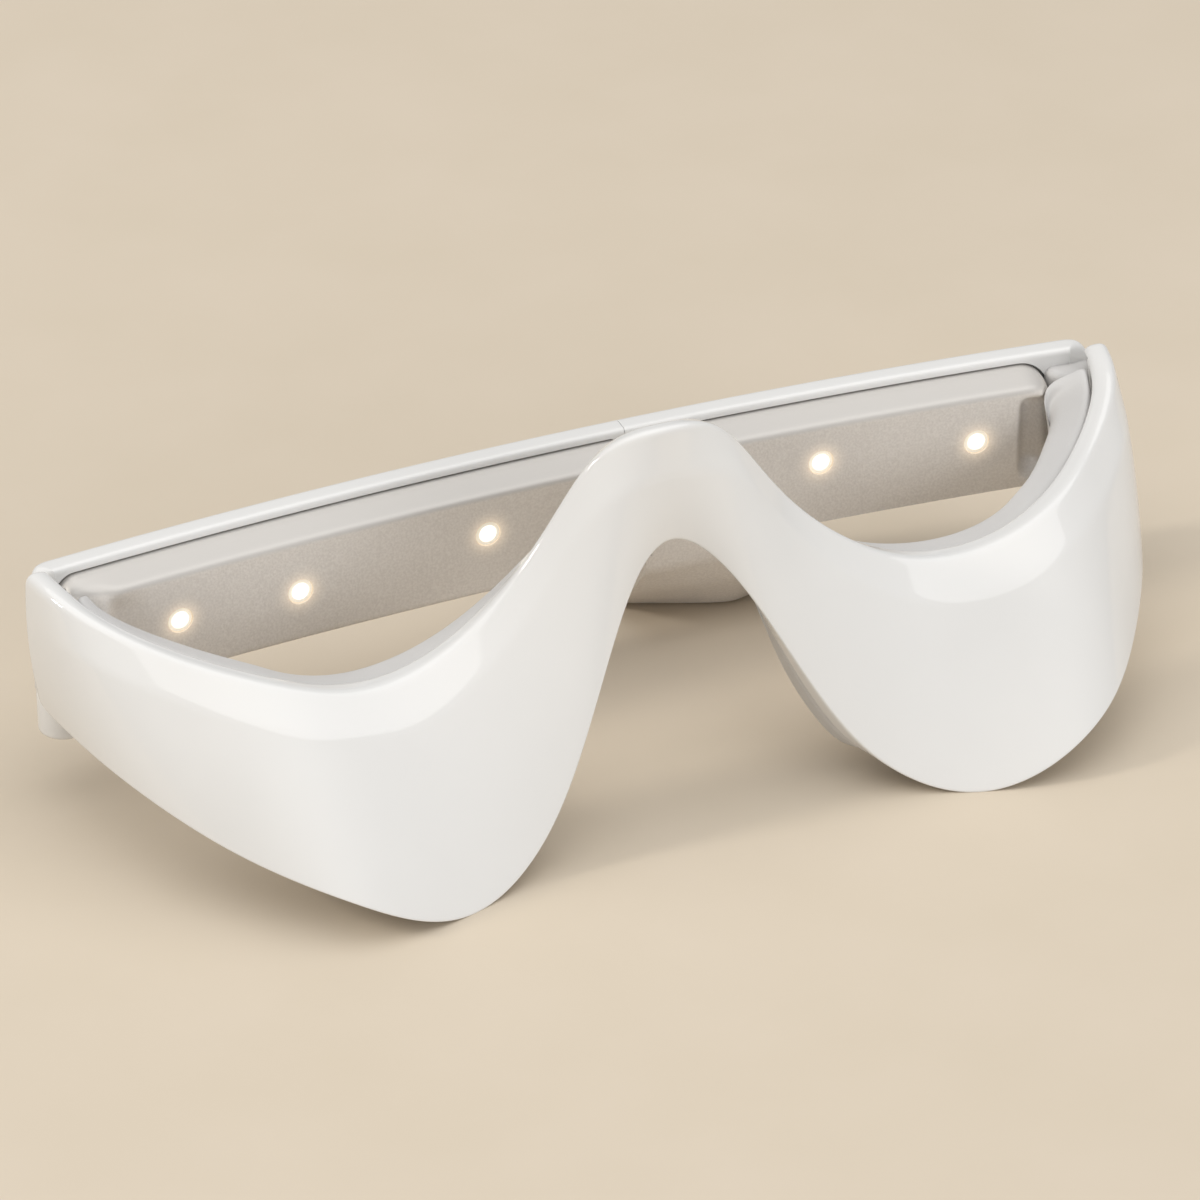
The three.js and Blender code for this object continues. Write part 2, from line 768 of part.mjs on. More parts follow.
function podCover() {
  const front = pod.split + touchGap;
  const button = new THREE.Vector3(buttonCentre.x, 60, buttonCentre.z);
  const light = new THREE.Vector3(lightCentre.x, 60, lightCentre.z);
  return cut(podForm(), [
    block(pod.left - 5, pod.right + 5, pod.front - 5, front, -5, podTop + 5),
    rod(buttonRadius + touchGap, 30, 28, button, backAxis),
    rod(1.1, 30, 16, light, backAxis),
    ...podScrewHoles(1.1, 60, 20),
    ...podScrewHoles(2.1, 73.7, 5),
  ]);
}

function podScrew(x) {
  const headSeat = 74;
  const foot = pod.split - 2.8;
  const shank = headSeat - foot;
  const profile = [[0, 0], [0.8, 0.3], [0.8, shank], [1.7, shank], [1.7, shank + 0.7],
    [1.4, shank + 1], [0, shank + 1]];
  const screw = turned(profile, 16, new THREE.Vector3(x, foot, podScrewHeight), backAxis);
  const deep = headSeat + 0.5;
  return cut(screw, [
    block(x - 1.1, x + 1.1, deep, deep + 2, podScrewHeight - 0.2, podScrewHeight + 0.2),
    block(x - 0.2, x + 0.2, deep, deep + 2, podScrewHeight - 1.1, podScrewHeight + 1.1),
  ]);
}

function powerButton() {
  const foot = 71.6;
  const flange = 0.6;
  const top = 76.3 - foot;
  const profile = [[0, 0], [buttonRadius + 0.8, 0], [buttonRadius + 0.8, flange],
    [buttonRadius, flange], [buttonRadius, top - 0.7], [buttonRadius - 0.7, top],
    [buttonRadius - 1.6, top - 0.15], [0, top - 0.4]];
  return turned(profile, 28, new THREE.Vector3(buttonCentre.x, foot, buttonCentre.z), backAxis);
}

function statusLight() {
  const foot = 69;
  const profile = [[0, 0], [0.8, 0], [0.8, 6.1], [0.5, 6.4], [0, 6.5]];
  return turned(profile, 14, new THREE.Vector3(lightCentre.x, foot, lightCentre.z), backAxis);
}

function chargingPort() {
  const { left, right, front, back, bottom, top } = portBox;
  const wall = 0.35;
  const floor = left + 1.2;
  const hollow = block(floor, right + 1, front + wall, back - wall, bottom + wall, top - wall);
  const middle = (front + back) / 2;
  const tongue = block(floor - 0.5, right - 1, middle - 0.35, middle + 0.35, bottom + 1.2, top - 1.2);
  return join(cut(block(left, right, front, back, bottom, top), [hollow]), [tongue]);
}

function controlBoard() {
  const { left, right } = podCavity;
  return block(left + 0.5, right - 0.5, 67.7, 68.7, 14, 25);
}

function battery() {
  const { left, right } = podCavity;
  const [front, back] = [67.9, 71.4];
  const [low, high] = [podCavity.bottom + 0.4, 13.2];
  const outline = [
    corner(front, low, 1.2, 1),
    corner(back, low, 1.2, 1),
    corner(back, high, 1.2, 1),
    corner(front, high, 1.2, 1),
  ];
  return bar(outline, left + 0.5, right - 0.5, backAxis, upAxis);
}

function buttonSwitch() {
  const { x, z } = buttonCentre;
  const body = block(x - 3, x + 3, 69, 70.2, z - 3, z + 3);
  const plunger = rod(1.6, 1, 16, new THREE.Vector3(x, 69.5, z), backAxis);
  return join(body, [plunger]);
}

// Materials
function glossWhite() {
  return new THREE.MeshStandardMaterial({ color: '#e9e7e4', roughness: 0.12, metalness: 0 });
}

function satinSilver() {
  return new THREE.MeshStandardMaterial({ color: '#b5aea6', roughness: 0.5, metalness: 0.25 });
}

function linerGrey() {
  return new THREE.MeshStandardMaterial({ color: '#cfcecc', roughness: 0.55, metalness: 0 });
}

function litWindow() {
  return new THREE.MeshStandardMaterial({ color: '#fff6df', emissive: '#ffe2ae', roughness: 0.2 });
}

function steel() {
  return new THREE.MeshStandardMaterial({ color: '#8e9196', roughness: 0.3, metalness: 1 });
}

function circuitBoard() {
  return new THREE.MeshStandardMaterial({ color: '#f2f1ec', roughness: 0.6, metalness: 0 });
}

function amberFilm() {
  return new THREE.MeshStandardMaterial({ color: '#c07a2c', roughness: 0.4, metalness: 0 });
}

function batteryWrap() {
  return new THREE.MeshStandardMaterial({ color: '#9fa6ad', roughness: 0.4, metalness: 0.4 });
}

const massager = new THREE.Group();

function add(name, geometry, material) {
  const mesh = new THREE.Mesh(geometry, material);
  mesh.name = name;
  mesh.geometry.computeVertexNormals();
  massager.add(mesh);
}

add('front_shell', frontShell(), glossWhite());
add('front_liner', frontLiner(), linerGrey());
add('bridge_flat_cable', bridgeStrip(linerNear + 0.1, linerNear + 0.4, 0), amberFilm());

for (const side of [-1, 1]) {
  const hand = side < 0 ? 'left' : 'right';
  add(`${hand}_heater_film`, lobeSheet(side, linerNear + 0.15, linerNear + 0.5, 0), amberFilm());
  add(`${hand}_eye_motor`, lobeDisc(side, motorPlace.radius, motorPlace.near, motorPlace.far), steel());
  add(`${hand}_arm_shell`, armShell(side), glossWhite());
  add(`${hand}_arm_pad`, armPad(side), satinSilver());
  add(`${hand}_led_board`, ledBoard(side), circuitBoard());
  add(`${hand}_hinge_pin`, hingePin(side), steel());
  add(`${hand}_tip_magnet`, tipMagnet(side), steel());
  leds[hand].forEach((led, i) => {
    add(`${hand}_led_window_${i + 1}`, ledWindow(side, led), litWindow());
  });
}

add('pod_case', podCase(), satinSilver());
add('pod_cover', podCover(), glossWhite());
add('power_button', powerButton(), glossWhite());
add('button_switch', buttonSwitch(), steel());
add('status_light', statusLight(), litWindow());
add('charging_port', chargingPort(), steel());
add('control_board', controlBoard(), circuitBoard());
add('battery', battery(), batteryWrap());
podScrews.forEach((x, i) => add(`pod_screw_${i + 1}`, podScrew(x), steel()));

massager.position.set(0, -depthCentre, 0);

export default massager;
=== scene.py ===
import math

import bmesh
import bpy
import numpy as np
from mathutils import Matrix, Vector


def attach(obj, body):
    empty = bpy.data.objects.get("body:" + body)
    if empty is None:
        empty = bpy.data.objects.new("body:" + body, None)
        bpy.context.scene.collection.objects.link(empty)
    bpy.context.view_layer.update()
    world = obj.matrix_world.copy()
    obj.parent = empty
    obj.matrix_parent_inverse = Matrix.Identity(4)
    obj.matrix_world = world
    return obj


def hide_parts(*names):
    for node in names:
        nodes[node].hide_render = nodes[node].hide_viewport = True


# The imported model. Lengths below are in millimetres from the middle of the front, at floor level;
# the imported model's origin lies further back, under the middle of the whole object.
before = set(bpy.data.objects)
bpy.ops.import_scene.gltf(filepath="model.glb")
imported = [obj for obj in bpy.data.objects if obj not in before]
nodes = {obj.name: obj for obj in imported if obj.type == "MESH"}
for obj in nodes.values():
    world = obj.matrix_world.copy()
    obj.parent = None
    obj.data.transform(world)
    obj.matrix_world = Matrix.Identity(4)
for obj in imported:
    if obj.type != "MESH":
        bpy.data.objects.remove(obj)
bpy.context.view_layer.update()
middle_depth = 39.03

# Front shell. The real one is a single injection moulding in glossy white ABS: two drop-shaped
# lobes that lean back, joined by a nose bridge. Its ends hold the hinge tongues.
rim_line = [(0, 25, 55.5), (10, 27.5, 51.5), (20.5, 27.5, 37.5), (38, 24.5, 26.2),
            (56, 24.5, 28.5), (70, 35.5, 31.2), (79, 47, 34.5), (82, 56.2, 35.5)]
lower_line = [(0, 23.5, 38.5), (11, 18, 27.5), (23, 10, 7.2), (39, 2.8, -0.1),
              (55, 3, 6), (68, 16.5, 10), (78, 35, 14.5), (81.5, 54.5, 15)]
end_crown = 0.8
crease_drop, crease_rise, crease_softness, lower_swell = 6.8, 1.05, 0.7, 0.3
crease_fade, end_span = (0.8, 0.97), (0.7, 0.9)
shell_wall, end_growth = 2.7, 0.9
rim_radius, tip_rounding, foot_radius, back_radius = 0.9, 0.7, 0.6, 0.5
lobe_start, leg_start, leg_end, leg_flare = (20, 30), (6, 12), (20, 28), 0.5
hinge_x, hinge_y = 77.0, 57.0
barrel_radius, barrel_gap, barrel_sides = 3.6, 0.35, 72
tongue_bottom, tongue_top = 15.6, 26.4


def natural_spline(values):
    """A smooth curve through evenly spaced values, straight at both ends."""
    values = np.asarray(values, float)
    count = len(values)
    bend = np.zeros(count)
    beside = np.ones(count - 3)
    band = np.diag(np.full(count - 2, 4.0)) + np.diag(beside, 1) + np.diag(beside, -1)
    bend[1:-1] = np.linalg.solve(band, 6 * (values[:-2] - 2 * values[1:-1] + values[2:]))

    def at(t):
        t = np.asarray(t, float)
        k = np.clip(np.floor(t).astype(int), 0, count - 2)
        f = t - k
        g = 1 - f
        curve = ((g**3 - g) * bend[k] + (f**3 - f) * bend[k + 1]) / 6
        return g * values[k] + f * values[k + 1] + curve

    return at


def mirrored_line(stations):
    """A line through stations and their mirror images, for a parameter from -1 to 1."""
    half = len(stations) - 1
    whole = [(-x, y, z) for x, y, z in stations[:0:-1]] + list(stations)
    curves = [natural_spline([p[axis] for p in whole]) for axis in range(3)]
    return lambda u: np.stack([c((np.asarray(u, float) + 1) * half) for c in curves], -1)


def smooth_step(value, low, high):
    t = np.clip((value - low) / (high - low), 0, 1)
    return t * t * (3 - 2 * t)


class Skin:
    """The outer face between an upper and a lower line, with depths measured inwards from it."""

    def __init__(self, upper, lower, crown, outward, level_top, level_bottom):
        self.upper, self.lower, self.crown, self.outward = upper, lower, crown, outward
        self.level_top, self.level_bottom = level_top, level_bottom

    def ruled(self, u, v):
        v = np.asarray(v, float)[..., None]
        return self.upper(u) * (1 - v) + self.lower(u) * v

    def facing(self, face, u, v):
        nudge = 0.001
        across = face(u + nudge, v) - face(u - nudge, v)
        down = face(u, v + nudge) - face(u, v - nudge)
        normal = np.cross(across, down) * self.outward
        return normal / np.linalg.norm(normal, axis=-1, keepdims=True)

    def point(self, u, v):
        v, height = np.asarray(v, float), self.height(u)
        swell = self.crown(u, v * height, height)[..., None]
        return self.ruled(u, v) + swell * self.facing(self.ruled, u, v)

    def normal(self, u, v):
        return self.facing(self.point, u, v)

    def height(self, u):
        return np.linalg.norm(self.lower(u) - self.upper(u), axis=-1)

    def place(self, u, along, depth):
        along, depth = np.asarray(along, float), np.asarray(depth, float)
        u = np.full(along.shape, float(u)) if np.ndim(u) == 0 else u
        height = self.height(u)
        drop = (self.lower(u) - self.upper(u)) / height[..., None]
        lean = -self.facing(self.ruled, u, np.full(u.shape, 0.5))[..., 2] / drop[..., 2]
        part = along / height
        level = lean * ((1 - part) * self.level_top(u) + part * self.level_bottom(u))
        v = (along - depth * level) / height
        return self.point(u, v) - depth[..., None] * self.normal(u, v)


def round_section(corners, arc_steps=6):
    """Rounds a section's corners, given as (along, depth, radius, pieces in the next edge)."""
    points = [np.array(c[:2], float) for c in corners]
    ends = []
    for i, here in enumerate(points):
        before, after = points[i - 1] - here, points[(i + 1) % len(points)] - here
        reach = min(corners[i][2], np.linalg.norm(before) * 0.45, np.linalg.norm(after) * 0.45)
        ends.append((here, here + before / np.linalg.norm(before) * reach,
                     here + after / np.linalg.norm(after) * reach))
    ring = []
    for i, (here, start, end) in enumerate(ends):
        arcs = arc_steps if corners[i][2] > 0 else 0
        for k in range(arcs + 1):
            t = k / max(arcs, 1)
            ring.append((start * (1 - t) + here * t) * (1 - t) + (here * (1 - t) + end * t) * t)
        following = ends[(i + 1) % len(ends)][1]
        for k in range(1, corners[i][3]):
            ring.append(end + (following - end) * k / corners[i][3])
    return np.array(ring)


def rounded_inset(distance, radius):
    if distance >= radius:
        return 0.0
    return radius - math.sqrt(radius**2 - (radius - distance) ** 2)


def box_section(near, far, radius, pieces):
    return lambda top, bottom, pinch, u: [
        (top, near + pinch, radius, pieces), (bottom, near + pinch, radius, 3),
        (bottom, far - pinch, radius, pieces), (top, far - pinch, radius, 3)]


def ring_faces(rings, count):
    """Faces that join closed rings of points in turn, and close both ends."""
    faces = []
    for start in range(0, (rings - 1) * count, count):
        for k in range(count):
            after = (k + 1) % count
            faces.append((start + k, start + after, start + count + after, start + count + k))
    faces.append(tuple(range(count))[::-1])
    faces.append(tuple((rings - 1) * count + k for k in range(count)))
    return faces


def panel(skin, start, end, steps, span, section, start_radii, end_radii, pinch=0.0, reshape=None):
    """Vertices and faces of a closed panel on a skin, with rounded edges, ends and corners."""
    samples = np.linspace(start, end, 1200)
    middle = skin.point(samples, np.full(samples.shape, 0.5))
    marks = np.concatenate([[0], np.cumsum(np.linalg.norm(np.diff(middle, axis=0), axis=1))])
    length = marks[-1]
    start_round, end_round = max(start_radii), max(end_radii)
    turn = np.linspace(0, math.pi / 2, 13)[:-1]
    distances = [start_round * (1 - math.cos(a)) for a in turn]
    distances += list(np.linspace(start_round, length - end_round, steps + 1))
    distances += [length - end_round * (1 - math.cos(a)) for a in turn[::-1]]
    rings = []
    for distance in distances:
        u = float(np.interp(distance, marks, samples))
        rest = length - distance
        top, bottom = span(float(skin.height(np.array(u))))
        top += rounded_inset(distance, start_radii[0]) + rounded_inset(rest, end_radii[0])
        bottom -= rounded_inset(distance, start_radii[1]) + rounded_inset(rest, end_radii[1])
        tuck = rounded_inset(min(distance, rest), pinch)
        ring = round_section(section(top, bottom, tuck, u))
        if reshape:
            ring = reshape(ring, u)
        rings.append(skin.place(u, ring[:, 0], ring[:, 1]))
    return np.concatenate(rings), ring_faces(len(rings), len(rings[0]))


def to_metres(points):
    return (np.asarray(points, float) - [0, middle_depth, 0]) / 1000


def make_piece(name, vertices, faces, sharp_angle=35):
    """A mesh object at the origin, with its normals outwards and only its true edges sharp."""
    mesh = bpy.data.meshes.new(name)
    mesh.from_pydata([tuple(p) for p in to_metres(vertices)], [], faces)
    work = bmesh.new()
    work.from_mesh(mesh)
    bmesh.ops.remove_doubles(work, verts=work.verts, dist=1e-7)
    bmesh.ops.recalc_face_normals(work, faces=work.faces)
    work.to_mesh(mesh)
    work.free()
    piece = bpy.data.objects.new(name, mesh)
    bpy.context.scene.collection.objects.link(piece)
    smooth(piece, sharp_angle)
    return piece


def smooth(piece, sharp_angle=35):
    piece.data.polygons.foreach_set("use_smooth", [True] * len(piece.data.polygons))
    piece.data.set_sharp_from_angle(angle=math.radians(sharp_angle))


def turned(profile, sides, origin, axis):
    """Vertices and faces of a round piece, from (radius, height) points and its own axis."""
    turn = Vector((0, 0, 1)).rotation_difference(Vector(axis)).to_matrix()
    vertices, faces, rings = [], [], []
    for radius, height in profile:
        ring = []
        for k in range(1 if radius == 0 else sides):
            angle = 2 * math.pi * k / sides
            spot = turn @ Vector((radius * math.cos(angle), radius * math.sin(angle), height))
            ring.append(len(vertices))
            vertices.append(tuple(spot + Vector(origin)))
        rings.append(ring)
    for low, high in zip(rings, rings[1:]):
        for k in range(sides):
            after = (k + 1) % sides
            quad = [low[k % len(low)], low[after % len(low)],
                    high[after % len(high)], high[k % len(high)]]
            face = [q for i, q in enumerate(quad) if q != quad[i - 1]]
            if len(face) > 2:
                faces.append(tuple(face))
    return vertices, faces


def combine(piece, tools, operation):
    """Cuts tools from a piece, or joins them to it, and leaves a plain mesh."""
    for tool in tools:
        change = piece.modifiers.new("shape", "BOOLEAN")
        change.operation = operation
        change.solver = "MANIFOLD"
        change.object = tool
    bpy.context.view_layer.update()
    ready = piece.evaluated_get(bpy.context.evaluated_depsgraph_get())
    mesh = bpy.data.meshes.new_from_object(ready)
    piece.modifiers.clear()
    piece.data = mesh
    for tool in tools:
        bpy.data.objects.remove(tool)
    smooth(piece)
    return piece


def barrel(side, radius, bottom, top, edge, name="barrel"):
    """A round block about a hinge's axis, with rounded ends."""
    height = top - bottom
    steps = [edge * (1 - math.cos(a)) for a in np.linspace(0, math.pi / 2, 6)] if edge else [0]
    rounding = [(radius - edge + math.sqrt(max(edge**2 - (edge - s) ** 2, 0)), s) for s in steps]
    profile = [(0, 0)] + rounding + [(r, height - s) for r, s in rounding[::-1]] + [(0, height)]
    foot = (side * hinge_x, hinge_y, bottom)
    return make_piece(name, *turned(profile, barrel_sides, foot, (0, 0, 1)))


def front_crown(u, along, height):
    """The face's swell: a soft crease runs along below the rim, with a fuller face under it."""
    past = along - crease_drop
    softened = (past + crease_softness) ** 2 / (4 * crease_softness)
    ramp = np.where(np.abs(past) < crease_softness, softened, np.maximum(past, 0))
    slope = crease_rise / crease_drop
    below = np.maximum(past / (height - crease_drop), 0)
    creased = slope * along - (slope + crease_rise / (height - crease_drop)) * ramp
    creased = creased + lower_swell * 4 * below * (1 - below)
    plain = smooth_step(np.abs(u), *crease_fade)
    part = along / height
    return creased * (1 - plain) + end_crown * 4 * part * (1 - part) * plain


def foot_level(u):
    """How the lower edge is cut: level under the lobes, and flared a little along the nose legs."""
    x = np.abs(lower_of_front(u)[..., 0])
    leg = smooth_step(x, *leg_start) * (1 - smooth_step(x, *leg_end))
    return smooth_step(x, *lobe_start) - leg_flare * leg


lower_of_front = mirrored_line(lower_line)
front_skin = Skin(mirrored_line(rim_line), lower_of_front, front_crown, -1,
                  lambda u: np.ones(np.shape(u)), foot_level)


def end_share(u):
    return float(smooth_step(abs(u), *end_span))


def shell_section(top, bottom, tuck, u):
    far = shell_wall + end_growth * end_share(u)
    round_top = rim_radius + tip_rounding * end_share(u)
    return [(top, tuck, round_top, 56), (bottom, tuck, foot_radius, 4),
            (bottom, far - tuck, back_radius, 20), (top, far - tuck, round_top, 4)]


front_shell = make_piece("front_shell_skin", *panel(
    front_skin, -1, 1, 320, lambda height: (0, height), shell_section, (2.0, 3), (3.4, 3),
    pinch=1.3))
clear = barrel_radius + barrel_gap
pin_bore, pin_room_top, tip_floor = 1.5, 31.3, 34.15


def pin_room(side):
    return barrel(side, pin_bore, 0, pin_room_top, 0)


for side in (-1, 1):
    front_shell = combine(front_shell, [barrel(side, clear, tongue_top, tip_floor, 0),
                                        barrel(side, clear, 0, tongue_bottom, 0)], "DIFFERENCE")
    tongue = barrel(side, barrel_radius, tongue_bottom, tongue_top, 0.3)
    front_shell = combine(front_shell, [tongue], "UNION")
    front_shell = combine(front_shell, [pin_room(side)], "DIFFERENCE")


def linear(code):
    """A colour written as an sRGB hex value, turned to the linear numbers that shaders take."""
    values = [int(code[i:i + 2], 16) / 255 for i in (1, 3, 5)]
    return [v / 12.92 if v <= 0.04045 else ((v + 0.055) / 1.055) ** 2.4 for v in values] + [1.0]


def add_node(owner, kind, settings=(), links=()):
    """Adds one node with its settings (names or input names) and the sockets its inputs take."""
    tree = getattr(owner, "node_tree", owner)
    node = tree.nodes.new(kind)
    for name, value in dict(settings).items():
        if isinstance(name, str) and name not in node.inputs:
            setattr(node, name, value)
        else:
            node.inputs[name].default_value = value
    for name, socket in dict(links).items():
        tree.links.new(socket, node.inputs[name])
    return node


def start_material(name):
    """An empty material, and the place on the piece that its patterns read."""
    material = bpy.data.materials.new(name)
    material.use_nodes = True
    material.node_tree.nodes.clear()
    place = add_node(material, "ShaderNodeTexCoord").outputs["Object"]
    return material, place


# Injection-moulded gloss ABS: the mould was polished, so it mirrors the lights sharply, with a
# very slight unevenness from shrinking, about 8 mm across, and a little tone change in the white.
abs_white, place = start_material("gloss_moulded_abs_white")
tone = add_node(abs_white, "ShaderNodeTexNoise", {"Scale": 60.0, "Detail": 2.0}, {"Vector": place})
white = add_node(abs_white, "ShaderNodeMix", {
    "data_type": "RGBA", 6: linear("#dedddb"), 7: linear("#d9d8d6")},
    {"Factor": tone.outputs["Fac"]})
sink = add_node(abs_white, "ShaderNodeTexNoise", {"Scale": 120.0, "Detail": 1.0}, {"Vector": place})
uneven = add_node(abs_white, "ShaderNodeBump", {"Strength": 0.006, "Distance": 0.001},
                  {"Height": sink.outputs["Fac"]})
rub = add_node(abs_white, "ShaderNodeMapRange", {"To Min": 0.035, "To Max": 0.075},
               {"Value": tone.outputs["Fac"]})
gloss = add_node(abs_white, "ShaderNodeBsdfPrincipled", {"IOR": 1.53},
                 {"Base Color": white.outputs[2], "Roughness": rub.outputs[0],
                  "Normal": uneven.outputs[0]})
add_node(abs_white, "ShaderNodeOutputMaterial", links={"Surface": gloss.outputs[0]})


def coat(piece, material):
    """Gives a piece one material, whatever slots its cuts left behind."""
    piece.data.materials.clear()
    piece.data.materials.append(material)
    piece.data.polygons.foreach_set("material_index", [0] * len(piece.data.polygons))


coat(front_shell, abs_white)
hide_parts("front_shell")
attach(front_shell, "front")

# Front liner. Soft satin silicone, moulded over the back of the shell with a fine shadow gap
# along the rim. It lies lower behind the bridge, is a little thinner at the left end and swells
# to a cushion at the right end.
liner_start, liner_end, liner_inset, liner_rise = -0.925, 0.94, 0.6, 0.25
liner_near, liner_far, liner_edge, left_thinning = 3.2, 6.9, 1.1, 0.4
bridge_drop, bridge_span = 2.3, (0.08, 0.3)
cushion_growth, cushion_span, cushion_drop, cushion_rounding = 4.2, (0.6, 0.84), 1.8, 2.4


def liner_section(top, bottom, tuck, u):
    near = liner_near + end_growth * end_share(u)
    cushion = float(smooth_step(u, *cushion_span))
    far = liner_far + cushion_growth * cushion - (left_thinning * end_share(u) if u < 0 else 0)
    top += bridge_drop * (1 - float(smooth_step(abs(u), *bridge_span)))
    return [(top, near + tuck, liner_edge, 14), (bottom, near + tuck, liner_edge, 3),
            (bottom, far - tuck, liner_edge, 14),
            (top + cushion_drop * cushion, far - tuck, liner_edge + cushion_rounding * cushion, 3)]


front_liner = make_piece("front_liner_skin", *panel(
    front_skin, liner_start, liner_end, 260, lambda height: (liner_inset, height - liner_rise),
    liner_section, (7, 3), (4, 3), pinch=1.2))
front_liner = combine(front_liner, [barrel(side, barrel_radius + 2 * barrel_gap, 0, 60, 0)
                                    for side in (-1, 1)], "DIFFERENCE")

# Silicone skin, moulded in a blasted tool: soft satin with a fine matt grain. The real grain is
# about 0.1 mm; it is drawn at 0.25 mm so that it shows.
silicone, place = start_material("satin_silicone_grey")
grain = add_node(silicone, "ShaderNodeTexNoise", {"Scale": 4000.0, "Detail": 3.0},
                 {"Vector": place})
cloud = add_node(silicone, "ShaderNodeTexNoise", {"Scale": 90.0, "Detail": 3.0}, {"Vector": place})
grey = add_node(silicone, "ShaderNodeMix", {
    "data_type": "RGBA", 6: linear("#cccac8"), 7: linear("#c0bebc")},
    {"Factor": cloud.outputs["Fac"]})
matt = add_node(silicone, "ShaderNodeBump", {"Strength": 0.12, "Distance": 0.0002},
                {"Height": grain.outputs["Fac"]})
soft = add_node(silicone, "ShaderNodeBsdfPrincipled", {"IOR": 1.41, "Roughness": 0.42},
                {"Base Color": grey.outputs[2], "Normal": matt.outputs[0]})
add_node(silicone, "ShaderNodeOutputMaterial", links={"Surface": soft.outputs[0]})

coat(front_liner, silicone)
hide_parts("front_liner")
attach(front_liner, "front")

# Heater films, flat cable and eye motors, closed in between shell and liner. Amber polyimide
# film with printed tracks, and pressed steel motor cans.
polyimide, place = start_material("polyimide_film_amber")
track = add_node(polyimide, "ShaderNodeTexWave", {"Scale": 160.0, "Distortion": 0.0},
                 {"Vector": place})
amber = add_node(polyimide, "ShaderNodeMix", {
    "data_type": "RGBA", 6: linear("#c4812e"), 7: linear("#8f5418")},
    {"Factor": track.outputs["Fac"]})
film = add_node(polyimide, "ShaderNodeBsdfPrincipled", {"Roughness": 0.3},
                {"Base Color": amber.outputs[2]})
add_node(polyimide, "ShaderNodeOutputMaterial", links={"Surface": film.outputs[0]})

steel, place = start_material("plated_steel")
drawn = add_node(steel, "ShaderNodeTexNoise", {"Scale": 700.0, "Detail": 4.0}, {"Vector": place})
worn = add_node(steel, "ShaderNodeMapRange", {"To Min": 0.22, "To Max": 0.4},
                {"Value": drawn.outputs["Fac"]})
plate = add_node(steel, "ShaderNodeBsdfPrincipled",
                 {"Metallic": 1.0, "Base Color": linear("#b9bbbe")}, {"Roughness": worn.outputs[0]})
add_node(steel, "ShaderNodeOutputMaterial", links={"Surface": plate.outputs[0]})


def dress(material, *names):
    for name in names:
        coat(nodes[name], material)


dress(polyimide, "bridge_flat_cable", "left_heater_film", "right_heater_film")
dress(steel, "left_eye_motor", "right_eye_motor")

# Arm shells. Two bands in the same gloss ABS, bowed back behind the front. Each is an open tray
# with a thin rim for its pad. It wraps round the hinge, over two knuckles that hold the tongue.
arm_back, arm_bow, arm_top, arm_bottom = 65.0, 4.4, 33.8, 13.4
arm_seam, arm_tip = 9.5, 0.03
arm_depth, arm_wall, arm_rim = 3.4, 2.0, 1.1
arm_edge, arm_corners, seam_edge = 0.9, (3.4, 2), 0.05
pocket_edge, pocket_start_corners, pocket_corners = 0.15, (1, 1), (4.7, 2.7)
pad_start, pad_end, puffy_end = 1.7, 74.0, 77.5
corner_start, corner_sweep = 77.41, math.radians(80)
knuckle_foot, knuckle_top, knuckle_edge, corner_floor = 8.5, 31.4, 0.8, 27.4
corner_room_start, corner_room_depth = 68, 12
corner_room_start_corners, corner_room_corners = (0.3, 0.3), (3.1, 0.4)
pin_head_room, pin_head_top = 2.2, 9.9
touch_gap = 0.3
magnet_length, magnet_near, magnet_far, magnet_floor, magnet_roof = 2.4, 0.9, 3.3, 18.3, 28.9
cap_edge, cap_gap = 1.2, 0.05
sleeve_thickness, sleeve_gap, sleeve_edge, sleeve_root, sleeve_lap = 0.2, 0.05, 0.3, 0.3, 0.5


def arm_line(side, height):
    """The arm's outer line: a shallow bow from its tip, then an arc round the hinge's axis."""
    slope = -2 * arm_bow * corner_start / hinge_x**2
    ahead = np.array([side, slope, 0]) / math.hypot(1, slope)
    inward = np.array([side * slope, -1, 0]) / math.hypot(1, slope)

    def at(u):
        tip = arm_seam + side * arm_tip
        x = side * (tip + (side * hinge_x - tip) * np.asarray(u, float))
        bow_x = np.minimum(x, corner_start)
        angle = (np.maximum(x - corner_start, 0) / barrel_radius)[..., None]
        line = np.stack([side * bow_x, arm_back - arm_bow * (bow_x / hinge_x) ** 2,
                         np.full(x.shape, height)], -1)
        return line + barrel_radius * (ahead * np.sin(angle) + inward * (1 - np.cos(angle)))
    return at


def flat(u):
    return np.zeros(np.shape(u))


def no_crown(u, along, height):
    return np.zeros(np.broadcast(u, along).shape)


def arm_skin(side):
    return Skin(arm_line(side, arm_top), arm_line(side, arm_bottom), no_crown, side, flat, flat)


def arm_parameter(side, x):
    tip = arm_seam + side * arm_tip
    return (x - tip) / (side * hinge_x - tip)


def along_arm(side, name, start, end, span, section, start_radii, end_radii, pinch=0.0, steps=120,
              reshape=None):
    """A panel along an arm, between two places given by their x."""
    return make_piece(name, *panel(
        arm_skin(side), arm_parameter(side, start), arm_parameter(side, end), steps, span, section,
        start_radii, end_radii, pinch, reshape))


def block(x0, x1, y0, y1, z0, z1):
    corners = [(x, y, z) for x in (x0, x1) for y in (y0, y1) for z in (z0, z1)]
    return make_piece("block", corners, [(0, 1, 3, 2), (4, 6, 7, 5), (0, 4, 5, 1), (2, 3, 7, 6),
                                         (0, 2, 6, 4), (1, 5, 7, 3)])


def magnet_room(side):
    ends = sorted(arm_seam + side * x for x in (pad_start, pad_start + magnet_length))
    return block(*ends, arm_back - magnet_far, arm_back - magnet_near, magnet_floor, magnet_roof)


